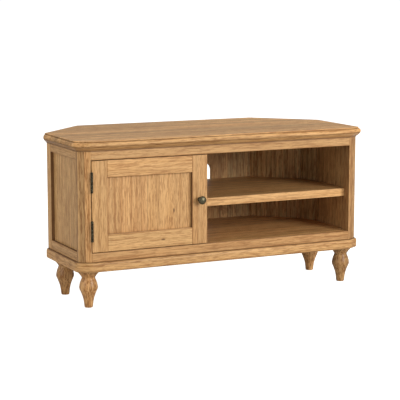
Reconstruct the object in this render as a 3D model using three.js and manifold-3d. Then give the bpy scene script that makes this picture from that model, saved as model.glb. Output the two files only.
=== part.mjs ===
// Corner television cabinet in oak: a carcass with slanting rear corners on four turned feet, with
// one inset panelled door on the left and an open bay with a shelf on the right.
// Millimetres, +Z up, +Y towards the corner of the room, +X to the right seen from the front.

import * as THREE from 'three';
import { mergeVertices } from 'three/addons/utils/BufferGeometryUtils.js';
import Module from 'manifold-3d';

const wasm = await Module();
wasm.setup();

// Overall sizes
const overall_width = 990;
const overall_height = 505;
const carcass_depth = 446;
const corner_run = 162;
const foot_height = 113;
const plinth_height = 30;
const moulding_height = 14;
const top_board_thickness = 17;

// Clearances
const fit = 0.3;
const joint_gap = 0.3;
const overrun = 60;

// Top: reach of its edge beyond the carcass, from the widest point to the small quirk on top
const top_overhang = 17;
const nose_centre_reach = 9;
const nose_upper_height = 9.9;
const nose_lower_height = 9;
const quirk_reach = 9.6;
const arris = 0.6;
const nose_steps = 5;
const nose_lower_turn = 0.5;
const nose_upper_turn = 1.4;

// Bed moulding under the top board
const bed_width = 45;
const bed_top_reach = 15;
const bed_lip_reach = 15.6;
const bed_lip_drop = 0.9;
const bed_foot_reach = 2;
const bed_foot_height = 1.8;
const bed_bulge = 0.6;
const bed_steps = 5;

// Plinth
const plinth_projection = 10;
const plinth_width = 80;
const plinth_top_round = 7;
const plinth_bottom_round = 6;
const plinth_round_steps = 4;

// Front frame
const post_width = 34;
const post_side_width = 33;
const post_depth = 45;
const cant_width = 32.5;
const cant_depth = 20;
const frame_thickness = 20;
const front_rail_top_height = 26;
const front_rail_bottom_height = 27;
const tenon_length = 10;
const tenon_thickness = 8;
const tenon_shoulder = 4;
const tenon_rear_shoulder = 3;

// Side frames and rear frames
const side_thickness = 20;
const side_recess = 10;
const side_rail_top_height = 25;
const side_rail_bottom_height = 29;
const rebate = 10;
const rear_stile_width = 33;
const rear_post_return = 38;
const rear_rail_height = 45;
const rear_frame_thickness = 16;
const rear_panel_thickness = 12;

// Cable slot in the back panel, behind the shelf and open to both bays
const slot_width = 56;
const slot_length = 138;
const slot_share = 0.5225;
const slot_steps = 10;

// Inside
const divider_thickness = 18;
const door_stop_gap = 0.5;
const shelf_thickness = 25;
const shelf_setback = 29;
const lower_bay_height = 111;
const housing_depth = 6;
const loose_shelf_thickness = 18;
const lower_cupboard_height = 112;
const loose_shelf_play = 1.5;
const shelf_pin_radius = 2.5;
const shelf_pin_length = 16;
const shelf_pin_inset = 8;
const shelf_pin_rear_inset = 90;

// Door
const door_gap = 2;
const door_width = 379;
const door_thickness = 20;
const door_stile_width = 50.5;
const door_rail_top_height = 51.5;
const door_rail_bottom_height = 52;
const door_panel_recess = 10;
const door_panel_thickness = 7;
const door_groove_depth = 9;
const door_tongue_length = 8;

// Knob, and the screw that holds it from inside the door
const knob_projection = 26;
const knob_radius = 12.8;
const knob_inset = 25.5;
const knob_segments = 28;
const knob_radius_shares = [0, 0.6, 0.6, 0.48, 0.39, 0.39, 0.72, 0.95, 1, 0.94, 0.78, 0.52, 0];
const knob_reach_shares = [0, 0, 0.05, 0.1, 0.19, 0.42, 0.54, 0.62, 0.7, 0.8, 0.88, 0.95, 1];
const screw_radius = 2;
const screw_head_radius = 4.5;
const screw_head_height = 2.2;
const screw_reach = 12;
const screw_segments = 16;

// Butt hinges
const hinge_height = 61;
const hinge_inset_share = 0.22;
const hinge_barrel_radius = 4;
const hinge_proud = 0.2;
const hinge_leaf_thickness = 1.5;
const hinge_leaf_width = 17;
const hinge_pin_radius = 1.3;
const hinge_pin_play = 0.15;
const hinge_pin_head_radius = 2.3;
const hinge_pin_head_height = 1.6;
const hinge_knuckles = 5;
const hinge_segments = 20;

// Magnetic catch on the divider and its plate on the door
const catch_height = 40;
const catch_width = 13;
const catch_depth = 16;
const catch_plate_thickness = 1.2;
const catch_plate_height = 30;
const catch_plate_width = 12;

// Turned feet
const foot_side_inset = 38;
const foot_front_inset = 40;
const rear_foot_inset = 44;
const foot_belly_radius = 28;
const foot_segments = 28;
const foot_steps = 22;
const foot_collar_radius = 31;
const foot_collar_height = 3.5;
const foot_rim = 1;
const foot_radius_shares = [0.36, 0.42, 0.51, 0.63, 0.84, 0.97, 1, 0.9, 0.786, 0.73, 0.9, 1.06];
const foot_height_shares = [0, 0.035, 0.17, 0.3, 0.435, 0.51, 0.575, 0.7, 0.78, 0.835, 0.905, 0.965];

// Levels
const plinth_level = foot_height;
const carcass_level = foot_height + plinth_height;
const board_level = overall_height - top_board_thickness;
const bed_level = board_level - moulding_height;
const opening_bottom = carcass_level + front_rail_bottom_height;
const opening_top = bed_level - front_rail_top_height;

// Plan of the carcass
const half_width = overall_width / 2 - top_overhang;
const opening_half = half_width - post_width;
const inner_half = half_width - side_thickness;
const panel_half = half_width - side_recess;
const side_depth = carcass_depth - corner_run;
const corner_length = corner_run * Math.SQRT2;
const rear_inset = rear_frame_thickness + rear_panel_thickness;
const inner_depth = carcass_depth - rear_inset;
const bevel_share = Math.tan(Math.PI / 8);
const cant_share = cant_width / (Math.hypot(cant_width, cant_depth) + cant_depth);
const bed_side_width = (bed_width - cant_depth) / cant_share;
const divider_right = -opening_half + door_gap + door_width - door_gap;
const divider_left = divider_right - divider_thickness;
const divider_front = frame_thickness + door_stop_gap;
const hands = [['left', -1], ['right', 1]];

const point = (x, y) => new THREE.Vector2(x, y);

// A point on the right-hand rear corner: along it from the side, and inwards from its outside.
function on_corner(along, inward) {
  return point(
    half_width - (along + inward) / Math.SQRT2,
    side_depth + (along - inward) / Math.SQRT2,
  );
}

// The carcass outline, front edge first and anticlockwise from above.
const carcass_outline = [
  point(-half_width + cant_width, 0),
  point(half_width - cant_width, 0),
  point(half_width, cant_depth),
  point(half_width, side_depth),
  point(half_width - corner_run, carcass_depth),
  point(-half_width + corner_run, carcass_depth),
  point(-half_width, side_depth),
  point(-half_width, cant_depth),
];

// The inner edge of the rear post faces into the corner, as far along the side as along the back.
const post_inner_corner = on_corner(rear_post_return, rear_inset);
const inside_corner = point(inner_half, half_width + side_depth - rear_inset * Math.SQRT2 - inner_half);
const post_inner_side = point(inner_half, inside_corner.y - inside_corner.distanceTo(post_inner_corner));
const inner_back_corner = point(half_width - corner_run - rear_inset * bevel_share, inner_depth);

const mirrored = (p) => point(-p.x, p.y);
const handed = (points, side) => points.map((p) => point(p.x * side, p.y));

// An outline with each edge moved outwards by its own reach.
function grown(outline, reaches) {
  const lines = outline.map((start, i) => {
    const way = outline[(i + 1) % outline.length].clone().sub(start).normalize();
    const normal = point(way.y, -way.x);
    const reach = Array.isArray(reaches) ? reaches[i] : reaches;
    return { normal, distance: normal.dot(start) + reach };
  });
  return lines.map((b, i) => {
    const a = lines[(i + lines.length - 1) % lines.length];
    const turn = a.normal.x * b.normal.y - a.normal.y * b.normal.x;
    return point(
      (a.distance * b.normal.y - b.distance * a.normal.y) / turn,
      (b.distance * a.normal.x - a.distance * b.normal.x) / turn,
    );
  });
}

// The carcass outline with its front, sides and front corners moved out, and its rear kept.
const moulded_outline = (reach) => grown(carcass_outline, [reach, reach, reach, 0, 0, 0, reach, reach]);

// A closed solid from a three.js geometry.
function solid_of(geometry) {
  const bare = new THREE.BufferGeometry();
  bare.setAttribute('position', geometry.getAttribute('position'));
  bare.setIndex(geometry.getIndex());
  const welded = mergeVertices(bare);
  const index = welded.getIndex().array;
  const kept = [];
  for (let i = 0; i < index.length; i += 3) {
    const [a, b, c] = [index[i], index[i + 1], index[i + 2]];
    if (a !== b && b !== c && c !== a) kept.push(a, b, c);
  }
  const mesh = new wasm.Mesh({
    numProp: 3,
    vertProperties: Float32Array.from(welded.getAttribute('position').array),
    triVerts: Uint32Array.from(kept),
  });
  return new wasm.Manifold(mesh);
}

// A block between two limits on each axis.
function block(x0, x1, y0, y1, z0, z1) {
  const geometry = new THREE.BoxGeometry(Math.abs(x1 - x0), Math.abs(y1 - y0), Math.abs(z1 - z0));
  geometry.translate((x0 + x1) / 2, (y0 + y1) / 2, (z0 + z1) / 2);
  return solid_of(geometry);
}

const extruded = (outline, depth) =>
  new THREE.ExtrudeGeometry(new THREE.Shape(outline), { depth, bevelEnabled: false });

// An outline in plan, carried upwards.
function prism(outline, z0, z1) {
  const geometry = extruded(outline, z1 - z0);
  geometry.translate(0, 0, z0);
  return solid_of(geometry);
}

// A section drawn in X and Z, carried along Y.
function bar_along_y(section, y0, y1) {
  const geometry = extruded(section, y1 - y0);
  const turn = new THREE.Matrix4().makeBasis(
    new THREE.Vector3(1, 0, 0), new THREE.Vector3(0, 0, 1), new THREE.Vector3(0, -1, 0));
  geometry.applyMatrix4(turn);
  geometry.translate(0, y1, 0);
  return solid_of(geometry);
}

// A section drawn in Y and Z, carried along X.
function bar_along_x(section, x0, x1) {
  const geometry = extruded(section, x1 - x0);
  const turn = new THREE.Matrix4().makeBasis(
    new THREE.Vector3(0, 1, 0), new THREE.Vector3(0, 0, 1), new THREE.Vector3(1, 0, 0));
  geometry.applyMatrix4(turn);
  geometry.translate(x0, 0, 0);
  return solid_of(geometry);
}

const standing = new THREE.Vector3(0, 1, 0);
const turn_from_standing = (direction) => new THREE.Quaternion().setFromUnitVectors(standing, direction);

// A round rod from a point, along a direction.
function rod(start, direction, length, radius, segments) {
  const geometry = new THREE.CylinderGeometry(radius, radius, length, segments);
  geometry.translate(0, length / 2, 0);
  geometry.applyQuaternion(turn_from_standing(direction));
  geometry.translate(start.x, start.y, start.z);
  return solid_of(geometry);
}

// A profile of radii and distances, turned about a line from a point.
function turned(profile, start, direction, segments) {
  const geometry = new THREE.LatheGeometry(profile, segments);
  geometry.applyQuaternion(turn_from_standing(direction));
  geometry.translate(start.x, start.y, start.z);
  return solid_of(geometry);
}

// Outlines of one plan shape stacked at rising levels, walled and closed at both ends.
function stacked(rings) {
  const count = rings[0].outline.length;
  const positions = rings.flatMap(({ outline, level }) => outline.flatMap((p) => [p.x, p.y, level]));
  const index = [];
  for (let ring = 0; ring < rings.length - 1; ring += 1) {
    for (let i = 0; i < count; i += 1) {
      const a = ring * count + i;
      const b = ring * count + ((i + 1) % count);
      index.push(a, b, b + count, a, b + count, a + count);
    }
  }
  const last = (rings.length - 1) * count;
  for (const [a, b, c] of THREE.ShapeUtils.triangulateShape(rings[0].outline, [])) index.push(a, c, b);
  for (const [a, b, c] of THREE.ShapeUtils.triangulateShape(rings[rings.length - 1].outline, [])) {
    index.push(last + a, last + b, last + c);
  }
  const geometry = new THREE.BufferGeometry();
  geometry.setAttribute('position', new THREE.Float32BufferAttribute(positions, 3));
  geometry.setIndex(index);
  return solid_of(geometry);
}

const moulded = (profile) =>
  stacked(profile.map(([reach, level]) => ({ outline: moulded_outline(reach), level })));

// Colours
const finish = (color, roughness, metalness) =>
  new THREE.MeshStandardMaterial({ color, roughness, metalness });
const oak = () => finish(0xc79a62, 0.55, 0);
const inner_oak = () => finish(0xb08a5a, 0.65, 0);
const pewter = () => finish(0x4c4a42, 0.4, 0.9);
const zinc = () => finish(0x9a978f, 0.35, 0.9);
const white_plastic = () => finish(0xe8e4da, 0.5, 0);

const cabinet = new THREE.Group();
const door = new THREE.Group();
cabinet.add(door);

// A named piece from a solid, added to a group.
function piece(name, solid, material, group = cabinet) {
  const { vertProperties, numProp, triVerts } = solid.getMesh();
  const positions = new Float32Array((vertProperties.length / numProp) * 3);
  for (let i = 0; i < positions.length / 3; i += 1) {
    positions.set(vertProperties.subarray(i * numProp, i * numProp + 3), i * 3);
  }
  const geometry = new THREE.BufferGeometry();
  geometry.setAttribute('position', new THREE.BufferAttribute(positions, 3));
  geometry.setIndex(new THREE.BufferAttribute(triVerts, 1));
  geometry.computeVertexNormals();
  const mesh = new THREE.Mesh(geometry, material);
  mesh.name = name;
  group.add(mesh);
}

// Top board: a bullnose edge under a small quirk, square along the rear.
const nose_centre_level = board_level + nose_lower_height * Math.sin(nose_lower_turn);
const nose_point = (angle, height) => [
  nose_centre_reach + (top_overhang - nose_centre_reach) * Math.cos(angle),
  nose_centre_level + height * Math.sin(angle),
];
const nose_shares = Array.from({ length: nose_steps }, (_, i) => (i + 1) / nose_steps);
const nose_profile = [
  ...nose_shares.map((share) => nose_point(-nose_lower_turn * share, nose_lower_height)).reverse(),
  nose_point(0, 0),
  ...nose_shares.map((share) => nose_point(nose_upper_turn * share, nose_upper_height)),
];
const nose_top_level = nose_profile[nose_profile.length - 1][1];
const top_board_profile = [
  ...nose_profile,
  [quirk_reach, nose_top_level + arris / 2],
  [quirk_reach, overall_height - arris],
  [quirk_reach - arris, overall_height],
];
piece('top_board', moulded(top_board_profile), oak());

// Bed moulding: a narrow lip over a slightly rounded slope and a small fillet, in three mitred strips.
const bed_slope_height = moulding_height - bed_lip_drop - bed_foot_height;
const bed_slope = Array.from({ length: bed_steps + 1 }, (_, i) => {
  const share = i / bed_steps;
  const bulge = i < bed_steps ? bed_bulge * Math.sin(Math.PI * share) : 0;
  return [
    bed_foot_reach + (bed_lip_reach - bed_foot_reach) * share + bulge,
    bed_level + bed_foot_height + bed_slope_height * share - bulge,
  ];
});
const bed_ring = moulded([[bed_foot_reach, bed_level], ...bed_slope, [bed_top_reach, board_level]]);

// The bevelled line from an outline corner inwards to a distance from the outside.
function inwards(corner, along_x, along_y, distance) {
  return point(corner.x - along_x * distance, corner.y - along_y * distance);
}
const front_corner = carcass_outline[2];
const side_corner = carcass_outline[3];
const back_corner = carcass_outline[4];

// The mitre between a front cant and a side.
const front_mitre = (distance) => inwards(front_corner, 1, -cant_share, distance);

// Plan of the part of a strip frame that belongs to the front, with both cants, from its inner corners.
function front_region(inner_corners) {
  const outer = front_mitre(-overrun);
  const right_half = [point(outer.x, -overrun), outer, ...inner_corners];
  return [...right_half, ...right_half.map(mirrored).reverse()];
}

const bed_side_end = on_corner(rear_post_return, bed_side_width * Math.SQRT2 - rear_post_return);
const bed_side_region = [
  front_mitre(-overrun), on_corner(rear_post_return, -overrun), bed_side_end, front_mitre(bed_side_width),
];
const strip = (ring, region, z0, z1) => ring.intersect(prism(grown(region, -joint_gap / 2), z0, z1));
const bed_front_region = front_region([front_mitre(bed_side_width)]);
piece('top_moulding_front', strip(bed_ring, bed_front_region, bed_level, board_level), oak());
for (const [hand, side] of hands) {
  const region = side > 0 ? bed_side_region : handed(bed_side_region, side).reverse();
  piece(`top_moulding_${hand}`, strip(bed_ring, region, bed_level, board_level), oak());
}

// Plinth: six strips with rounded edges, mitred at every corner.
const quarter = (steps) => Array.from({ length: steps + 1 }, (_, i) => (i / steps) * (Math.PI / 2));
const plinth_profile = [
  ...quarter(plinth_round_steps).map((angle) => [
    plinth_projection - plinth_bottom_round * (1 - Math.sin(angle)),
    plinth_level + plinth_bottom_round * (1 - Math.cos(angle)),
  ]),
  ...quarter(plinth_round_steps).map((angle) => [
    plinth_projection - plinth_top_round * (1 - Math.cos(angle)),
    carcass_level - plinth_top_round * (1 - Math.sin(angle)),
  ]),
];
const plinth_ring = moulded(plinth_profile);
const side_mitre = (distance) => inwards(side_corner, 1, bevel_share, distance);
const back_mitre = (distance) => inwards(back_corner, bevel_share, 1, distance);
const plinth_side_region = [
  front_mitre(-overrun), side_mitre(-overrun), side_mitre(plinth_width), front_mitre(plinth_width),
];
const plinth_front_region = front_region([
  front_mitre(plinth_width), point(half_width - plinth_width, plinth_width),
]);
const plinth_corner_region = [
  side_mitre(-overrun), back_mitre(-overrun), back_mitre(plinth_width), side_mitre(plinth_width),
];
const plinth_back_region = [
  back_mitre(-overrun), mirrored(back_mitre(-overrun)),
  mirrored(back_mitre(plinth_width)), back_mitre(plinth_width),
];
const plinth_strip = (region) => strip(plinth_ring, region, plinth_level, carcass_level);
piece('plinth_front', plinth_strip(plinth_front_region), oak());
piece('plinth_back', plinth_strip(plinth_back_region), inner_oak());
for (const [hand, side] of hands) {
  const side_region = side > 0 ? plinth_side_region : handed(plinth_side_region, side).reverse();
  const corner_region = side > 0 ? plinth_corner_region : handed(plinth_corner_region, side).reverse();
  piece(`plinth_${hand}`, plinth_strip(side_region), oak());
  piece(`plinth_corner_${hand}`, plinth_strip(corner_region), inner_oak());
}

// Outline of the space inside the frames, from a chosen front line, each edge with its own reach.
function inside_outline(front, reaches) {
  const right = [
    point(opening_half, front), point(opening_half, post_depth), point(inner_half, post_depth),
    post_inner_side, post_inner_corner, inner_back_corner,
  ];
  const left = right.map(mirrored).reverse();
  const all = [left[left.length - 1], ...right, ...left.slice(0, -1)];
  return grown(all, all.map((_, i) => reaches(i)));
}
const post_edges = [1, 11];
const rear_post_edges = [4, 8];

// The bay's shelf: housed in the divider, the front post and the rear post.
const shelf_bottom_level = opening_bottom + lower_bay_height;
const shelf_top_level = shelf_bottom_level + shelf_thickness;
const housed_edges = [...post_edges, ...rear_post_edges];
const shelf_reach = (i) => (housed_edges.includes(i) ? housing_depth - fit : -fit);
function bay_shelf_solid(clearance) {
  const reaches = (i) => (i === 0 ? 0 : shelf_reach(i)) + clearance;
  const low = shelf_bottom_level - clearance;
  const high = shelf_top_level + clearance;
  const housed_end = divider_right - housing_depth + fit - clearance;
  return prism(inside_outline(shelf_setback, reaches), low, high)
    .intersect(block(housed_end, half_width, 0, carcass_depth, low, high));
}
const bay_shelf_housing = bay_shelf_solid(fit);
piece('bay_shelf', bay_shelf_solid(0), oak());

// The cupboard's loose shelf lies on four pins.
const loose_shelf_bottom = opening_bottom + lower_cupboard_height;
const loose_shelf_top = loose_shelf_bottom + loose_shelf_thickness;
const loose_shelf_plan = inside_outline(shelf_setback, (i) => (i === 0 ? 0 : -loose_shelf_play));
const loose_shelf_limit = divider_left - loose_shelf_play;
const cupboard_side = block(
  -half_width, loose_shelf_limit, 0, carcass_depth, loose_shelf_bottom, loose_shelf_top);
const cupboard_shelf = prism(loose_shelf_plan, loose_shelf_bottom, loose_shelf_top)
  .intersect(cupboard_side);
piece('cupboard_shelf', cupboard_shelf, inner_oak());

const pin_level = loose_shelf_bottom - shelf_pin_radius;
const facet = post_inner_corner.clone().sub(post_inner_side).normalize();
const facet_middle = mirrored(post_inner_side.clone().add(post_inner_corner).divideScalar(2));
const pin_places = [
  { at: point(-opening_half, post_depth - shelf_pin_inset), way: point(1, 0) },
  { at: facet_middle, way: point(facet.y, facet.x) },
  { at: point(divider_left, post_depth - shelf_pin_inset), way: point(-1, 0) },
  { at: point(divider_left, inner_depth - shelf_pin_rear_inset), way: point(-1, 0) },
];
function shelf_pin_solid({ at, way }, radius, depth) {
  const direction = new THREE.Vector3(way.x, way.y, 0);
  const start = new THREE.Vector3(at.x, at.y, pin_level).addScaledVector(direction, -depth);
  return rod(start, direction, depth + shelf_pin_length / 2, radius, hinge_segments);
}
const pin_holes = pin_places.map((place) =>
  shelf_pin_solid(place, shelf_pin_radius + fit, shelf_pin_length / 2 + fit));
pin_places.forEach((place, i) => {
  const pin = shelf_pin_solid(place, shelf_pin_radius - fit / 2, shelf_pin_length / 2);
  piece(`shelf_pin_${i + 1}`, pin, zinc());
});

// Hinges: leaves let into the post and the door, with interleaved knuckles round one pin.
const door_left = -opening_half + door_gap;
const door_right = door_left + door_width;
const door_bottom = opening_bottom + door_gap;
const door_top = opening_top - door_gap;
const hinge_axis = point((door_left - opening_half) / 2, -hinge_barrel_radius - hinge_proud);
const hinge_inset = (door_top - door_bottom - hinge_height * 2) * hinge_inset_share;
const hinge_bottoms = [door_bottom + hinge_inset, door_top - hinge_inset - hinge_height];
const up = new THREE.Vector3(0, 0, 1);
const knuckle_height = hinge_height / hinge_knuckles;

// One leaf: its plate against a wood face, and every second knuckle.
function hinge_leaf(face, into_wood, bottom, first) {
  const back = face + into_wood * hinge_leaf_thickness;
  let leaf = block(face, back, 0, hinge_leaf_width, bottom, bottom + hinge_height);
  for (let i = first; i < hinge_knuckles; i += 2) {
    const low = bottom + i * knuckle_height + (i > 0 ? joint_gap / 2 : 0);
    const high = bottom + (i + 1) * knuckle_height - (i < hinge_knuckles - 1 ? joint_gap / 2 : 0);
    const start = new THREE.Vector3(hinge_axis.x, hinge_axis.y, low);
    leaf = leaf.add(rod(start, up, high - low, hinge_barrel_radius, hinge_segments));
    leaf = leaf.add(block(face, back, hinge_axis.y, hinge_leaf_width, low, high));
  }
  const bore_start = new THREE.Vector3(hinge_axis.x, hinge_axis.y, bottom - overrun);
  return leaf.subtract(
    rod(bore_start, up, hinge_height + overrun * 2, hinge_pin_radius + hinge_pin_play, hinge_segments));
}
function leaf_pocket(face, into_wood, bottom) {
  const back = face + into_wood * (hinge_leaf_thickness + fit);
  return block(face - into_wood * fit, back, -overrun, hinge_leaf_width + fit, bottom - fit,
    bottom + hinge_height + fit);
}
const hinge_pin_profile = [
  point(0, -fit),
  point(hinge_pin_radius, -fit),
  point(hinge_pin_radius, hinge_height + fit),
  point(hinge_pin_head_radius, hinge_height + fit),
  point(hinge_pin_head_radius, hinge_height + hinge_pin_head_height / 2),
  point(hinge_pin_head_radius / 2, hinge_height + hinge_pin_head_height),
  point(0, hinge_height + hinge_pin_head_height),
];
['lower', 'upper'].forEach((which, i) => {
  const bottom = hinge_bottoms[i];
  const start = new THREE.Vector3(hinge_axis.x, hinge_axis.y, bottom);
  piece(`hinge_${which}_frame_leaf`, hinge_leaf(-opening_half, -1, bottom, 0), pewter());
  piece(`hinge_${which}_door_leaf`, hinge_leaf(door_left, 1, bottom, 1), pewter(), door);
  piece(`hinge_${which}_pin`, turned(hinge_pin_profile, start, up, hinge_segments), pewter());
});

// Front posts: canted outside, rebated behind for the side panel.
const rail_levels = { top: [opening_top, bed_level], bottom: [carcass_level, opening_bottom] };
const tenon_front = frame_thickness - tenon_rear_shoulder - tenon_thickness;
function rail_tenon(side, low, high, clearance) {
  return block(
    side * (opening_half - clearance), side * (opening_half + tenon_length + clearance),
    tenon_front - clearance, tenon_front + tenon_thickness + clearance,
    low + tenon_shoulder - clearance, high - tenon_shoulder + clearance);
}
const front_post_plan = [
  point(opening_half, 0), point(half_width - cant_width, 0), point(half_width, cant_depth),
  point(half_width, post_side_width), point(inner_half, post_side_width),
  point(inner_half, post_depth), point(opening_half, post_depth),
];
for (const [hand, side] of hands) {
  let post = prism(handed(front_post_plan, side), carcass_level, bed_level);
  for (const [low, high] of Object.values(rail_levels)) {
    post = post.subtract(rail_tenon(side, low, high, fit));
  }
  if (side > 0) {
    post = post.subtract(bay_shelf_housing);
  } else {
    for (const bottom of hinge_bottoms) post = post.subtract(leaf_pocket(-opening_half, -1, bottom));
    post = post.subtract(pin_holes[0]);
  }
  piece(`front_post_${hand}`, post, oak());
}

// Front rails, tenoned into the posts.
for (const [which, [low, high]] of Object.entries(rail_levels)) {
  let rail = block(-opening_half, opening_half, 0, frame_thickness, low, high);
  for (const [, side] of hands) {
    rail = rail.add(block(
      side * (opening_half - tenon_length), side * (opening_half + tenon_length),
      tenon_front, tenon_front + tenon_thickness, low + tenon_shoulder, high - tenon_shoulder));
  }
  piece(`front_rail_${which}`, rail, oak());
}

// Side frames: rebated rails and a panel set back from the outside.
const side_rail_start = post_side_width;
const side_rail_end = side_depth - rear_stile_width;
const side_window = [carcass_level + side_rail_bottom_height, bed_level - side_rail_top_height];
for (const [hand, side] of hands) {
  const top_section = [
    point(inner_half, bed_level), point(half_width, bed_level), point(half_width, side_window[1]),
    point(panel_half, side_window[1]), point(panel_half, side_window[1] + rebate),
    point(inner_half, side_window[1] + rebate),
  ];
  const bottom_section = [
    point(inner_half, carcass_level), point(half_width, carcass_level), point(half_width, side_window[0]),
    point(panel_half, side_window[0]), point(panel_half, side_window[0] - rebate),
    point(inner_half, side_window[0] - rebate),
  ];
  const side_rail = (section) => bar_along_y(handed(section, side), side_rail_start, side_rail_end);
  piece(`side_rail_top_${hand}`, side_rail(top_section), oak());
  piece(`side_rail_bottom_${hand}`, side_rail(bottom_section), oak());
  piece(`side_panel_${hand}`, block(
    side * inner_half, side * panel_half, side_rail_start + fit, side_rail_end - fit,
    side_window[0] - rebate + fit, side_window[1] + rebate - fit), oak());
}

// Rear posts where the sides meet the rear corners.
const rear_post_plan = [
  point(half_width, side_rail_end), point(half_width, side_depth), on_corner(rear_post_return, 0),
  post_inner_corner, post_inner_side, point(inner_half, side_rail_end),
];
for (const [hand, side] of hands) {
  const post = prism(handed(rear_post_plan, side), carcass_level, bed_level);
  piece(`rear_post_${hand}`, post.subtract(side > 0 ? bay_shelf_housing : pin_holes[1]), oak());
}

// Back posts, rails and panels: a frame behind, with the panels on its inner face.
const frame_inward = rear_frame_thickness - joint_gap;
const back_post_edge = half_width - corner_run - rear_stile_width;
const back_post_plan = [
  point(back_post_edge, inner_depth + rear_panel_thickness),
  point(half_width + side_depth - frame_inward * Math.SQRT2 - inner_depth - rear_panel_thickness,
    inner_depth + rear_panel_thickness),
  on_corner(corner_length - rear_stile_width, frame_inward),
  on_corner(corner_length - rear_stile_width, 0),
  back_corner,
  point(back_post_edge, carcass_depth),
];
const corner_rail_plan = [
  on_corner(rear_post_return + joint_gap, frame_inward),
  on_corner(rear_post_return + joint_gap, 0),
  on_corner(corner_length - rear_stile_width - joint_gap, 0),
  on_corner(corner_length - rear_stile_width - joint_gap, frame_inward),
];
const corner_panel_plan = [
  on_corner(rear_post_return + joint_gap, rear_inset),
  on_corner(rear_post_return + joint_gap, rear_frame_thickness),
  on_corner(corner_length - rear_frame_thickness * bevel_share - joint_gap, rear_frame_thickness),
  on_corner(corner_length - rear_inset * bevel_share - joint_gap, rear_inset),
];
const rear_rail_levels = {
  top: [board_level - rear_rail_height, board_level],
  bottom: [carcass_level, carcass_level + rear_rail_height],
};
for (const [hand, side] of hands) {
  const back_piece = (plan) => prism(handed(plan, side), carcass_level, board_level);
  piece(`back_post_${hand}`, back_piece(back_post_plan), inner_oak());
  piece(`corner_panel_${hand}`, back_piece(corner_panel_plan), inner_oak());
  for (const [which, [low, high]] of Object.entries(rear_rail_levels)) {
    piece(`corner_rail_${which}_${hand}`, prism(handed(corner_rail_plan, side), low, high), inner_oak());
  }
}
for (const [which, [low, high]] of Object.entries(rear_rail_levels)) {
  const back_rail = block(
    -back_post_edge, back_post_edge, inner_depth + rear_panel_thickness, carcass_depth, low, high);
  piece(`back_rail_${which}`, back_rail, inner_oak());
}

// Back panel with the round-ended slot for cables, level with the shelf.
const back_panel_plan = [
  inner_back_corner, back_mitre(rear_frame_thickness),
  mirrored(back_mitre(rear_frame_thickness)), mirrored(inner_back_corner),
].map((p) => point(p.x - Math.sign(p.x) * joint_gap, p.y));
const slot_centre = divider_right + (inner_back_corner.x - divider_right) * slot_share;
const slot_level = (shelf_top_level + shelf_bottom_level) / 2;
const slot_straight = (slot_length - slot_width) / 2;
const slot_outline = new THREE.Shape();
slot_outline.absarc(slot_centre, slot_straight, slot_width / 2, 0, Math.PI);
slot_outline.absarc(slot_centre, -slot_straight, slot_width / 2, Math.PI, Math.PI * 2);
const slot_geometry = new THREE.ExtrudeGeometry(slot_outline, {
  depth: overrun * 2, bevelEnabled: false, curveSegments: slot_steps,
});
slot_geometry.rotateX(Math.PI / 2);
slot_geometry.translate(0, inner_depth + overrun, slot_level);
const back_panel = prism(back_panel_plan, carcass_level, board_level).subtract(solid_of(slot_geometry));
piece('back_panel', back_panel, inner_oak());

// Floor board on the plinth, between all the frames.
const floor_plan = inside_outline(frame_thickness, () => -fit);
piece('floor_board', prism(floor_plan, carcass_level, opening_bottom), oak());

// Divider: notched over the top moulding, housed for the shelf.
const divider_rear = inner_depth - fit;
const divider_section = [
  point(divider_front, opening_bottom), point(divider_rear, opening_bottom),
  point(divider_rear, board_level), point(bed_width + fit, board_level),
  point(bed_width + fit, bed_level), point(divider_front, bed_level),
];
piece('divider', bar_along_x(divider_section, divider_left, divider_right)
  .subtract(bay_shelf_housing).subtract(pin_holes[2]).subtract(pin_holes[3]), oak());

// Door frame: stiles and rails grooved round the panel, the rails with stub tongues.
const groove_front = door_panel_recess - fit;
const groove_back = door_panel_recess + door_panel_thickness + fit;
const door_inner_left = door_left + door_stile_width;
const door_inner_right = door_right - door_stile_width;
const panel_window = [door_bottom + door_rail_bottom_height, door_top - door_rail_top_height];
const knob_place = new THREE.Vector3(door_right - knob_inset, 0, (door_top + door_bottom) / 2);
const towards_front = new THREE.Vector3(0, -1, 0);
const stile_groove = (edge, into_wood) => block(
  edge - into_wood * fit, edge + into_wood * door_groove_depth, groove_front, groove_back,
  door_bottom - overrun, door_top + overrun);
let hinge_stile = block(door_left, door_inner_left, 0, door_thickness, door_bottom, door_top)
  .subtract(stile_groove(door_inner_left, -1));
for (const bottom of hinge_bottoms) hinge_stile = hinge_stile.subtract(leaf_pocket(door_left, 1, bottom));
piece('door_stile_hinge', hinge_stile, oak(), door);

const screw_rod = (start, length, radius) => rod(start, towards_front, length, radius, screw_segments);
const drill_start = knob_place.clone().setY(door_thickness + overrun);
const lock_stile = block(door_inner_right, door_right, 0, door_thickness, door_bottom, door_top)
  .subtract(stile_groove(door_inner_right, 1))
  .subtract(screw_rod(drill_start, overrun * 2 + door_thickness, screw_radius + fit))
  .subtract(screw_rod(drill_start, overrun + screw_head_height + fit, screw_head_radius + fit));
piece('door_stile_lock', lock_stile, oak(), door);

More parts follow.
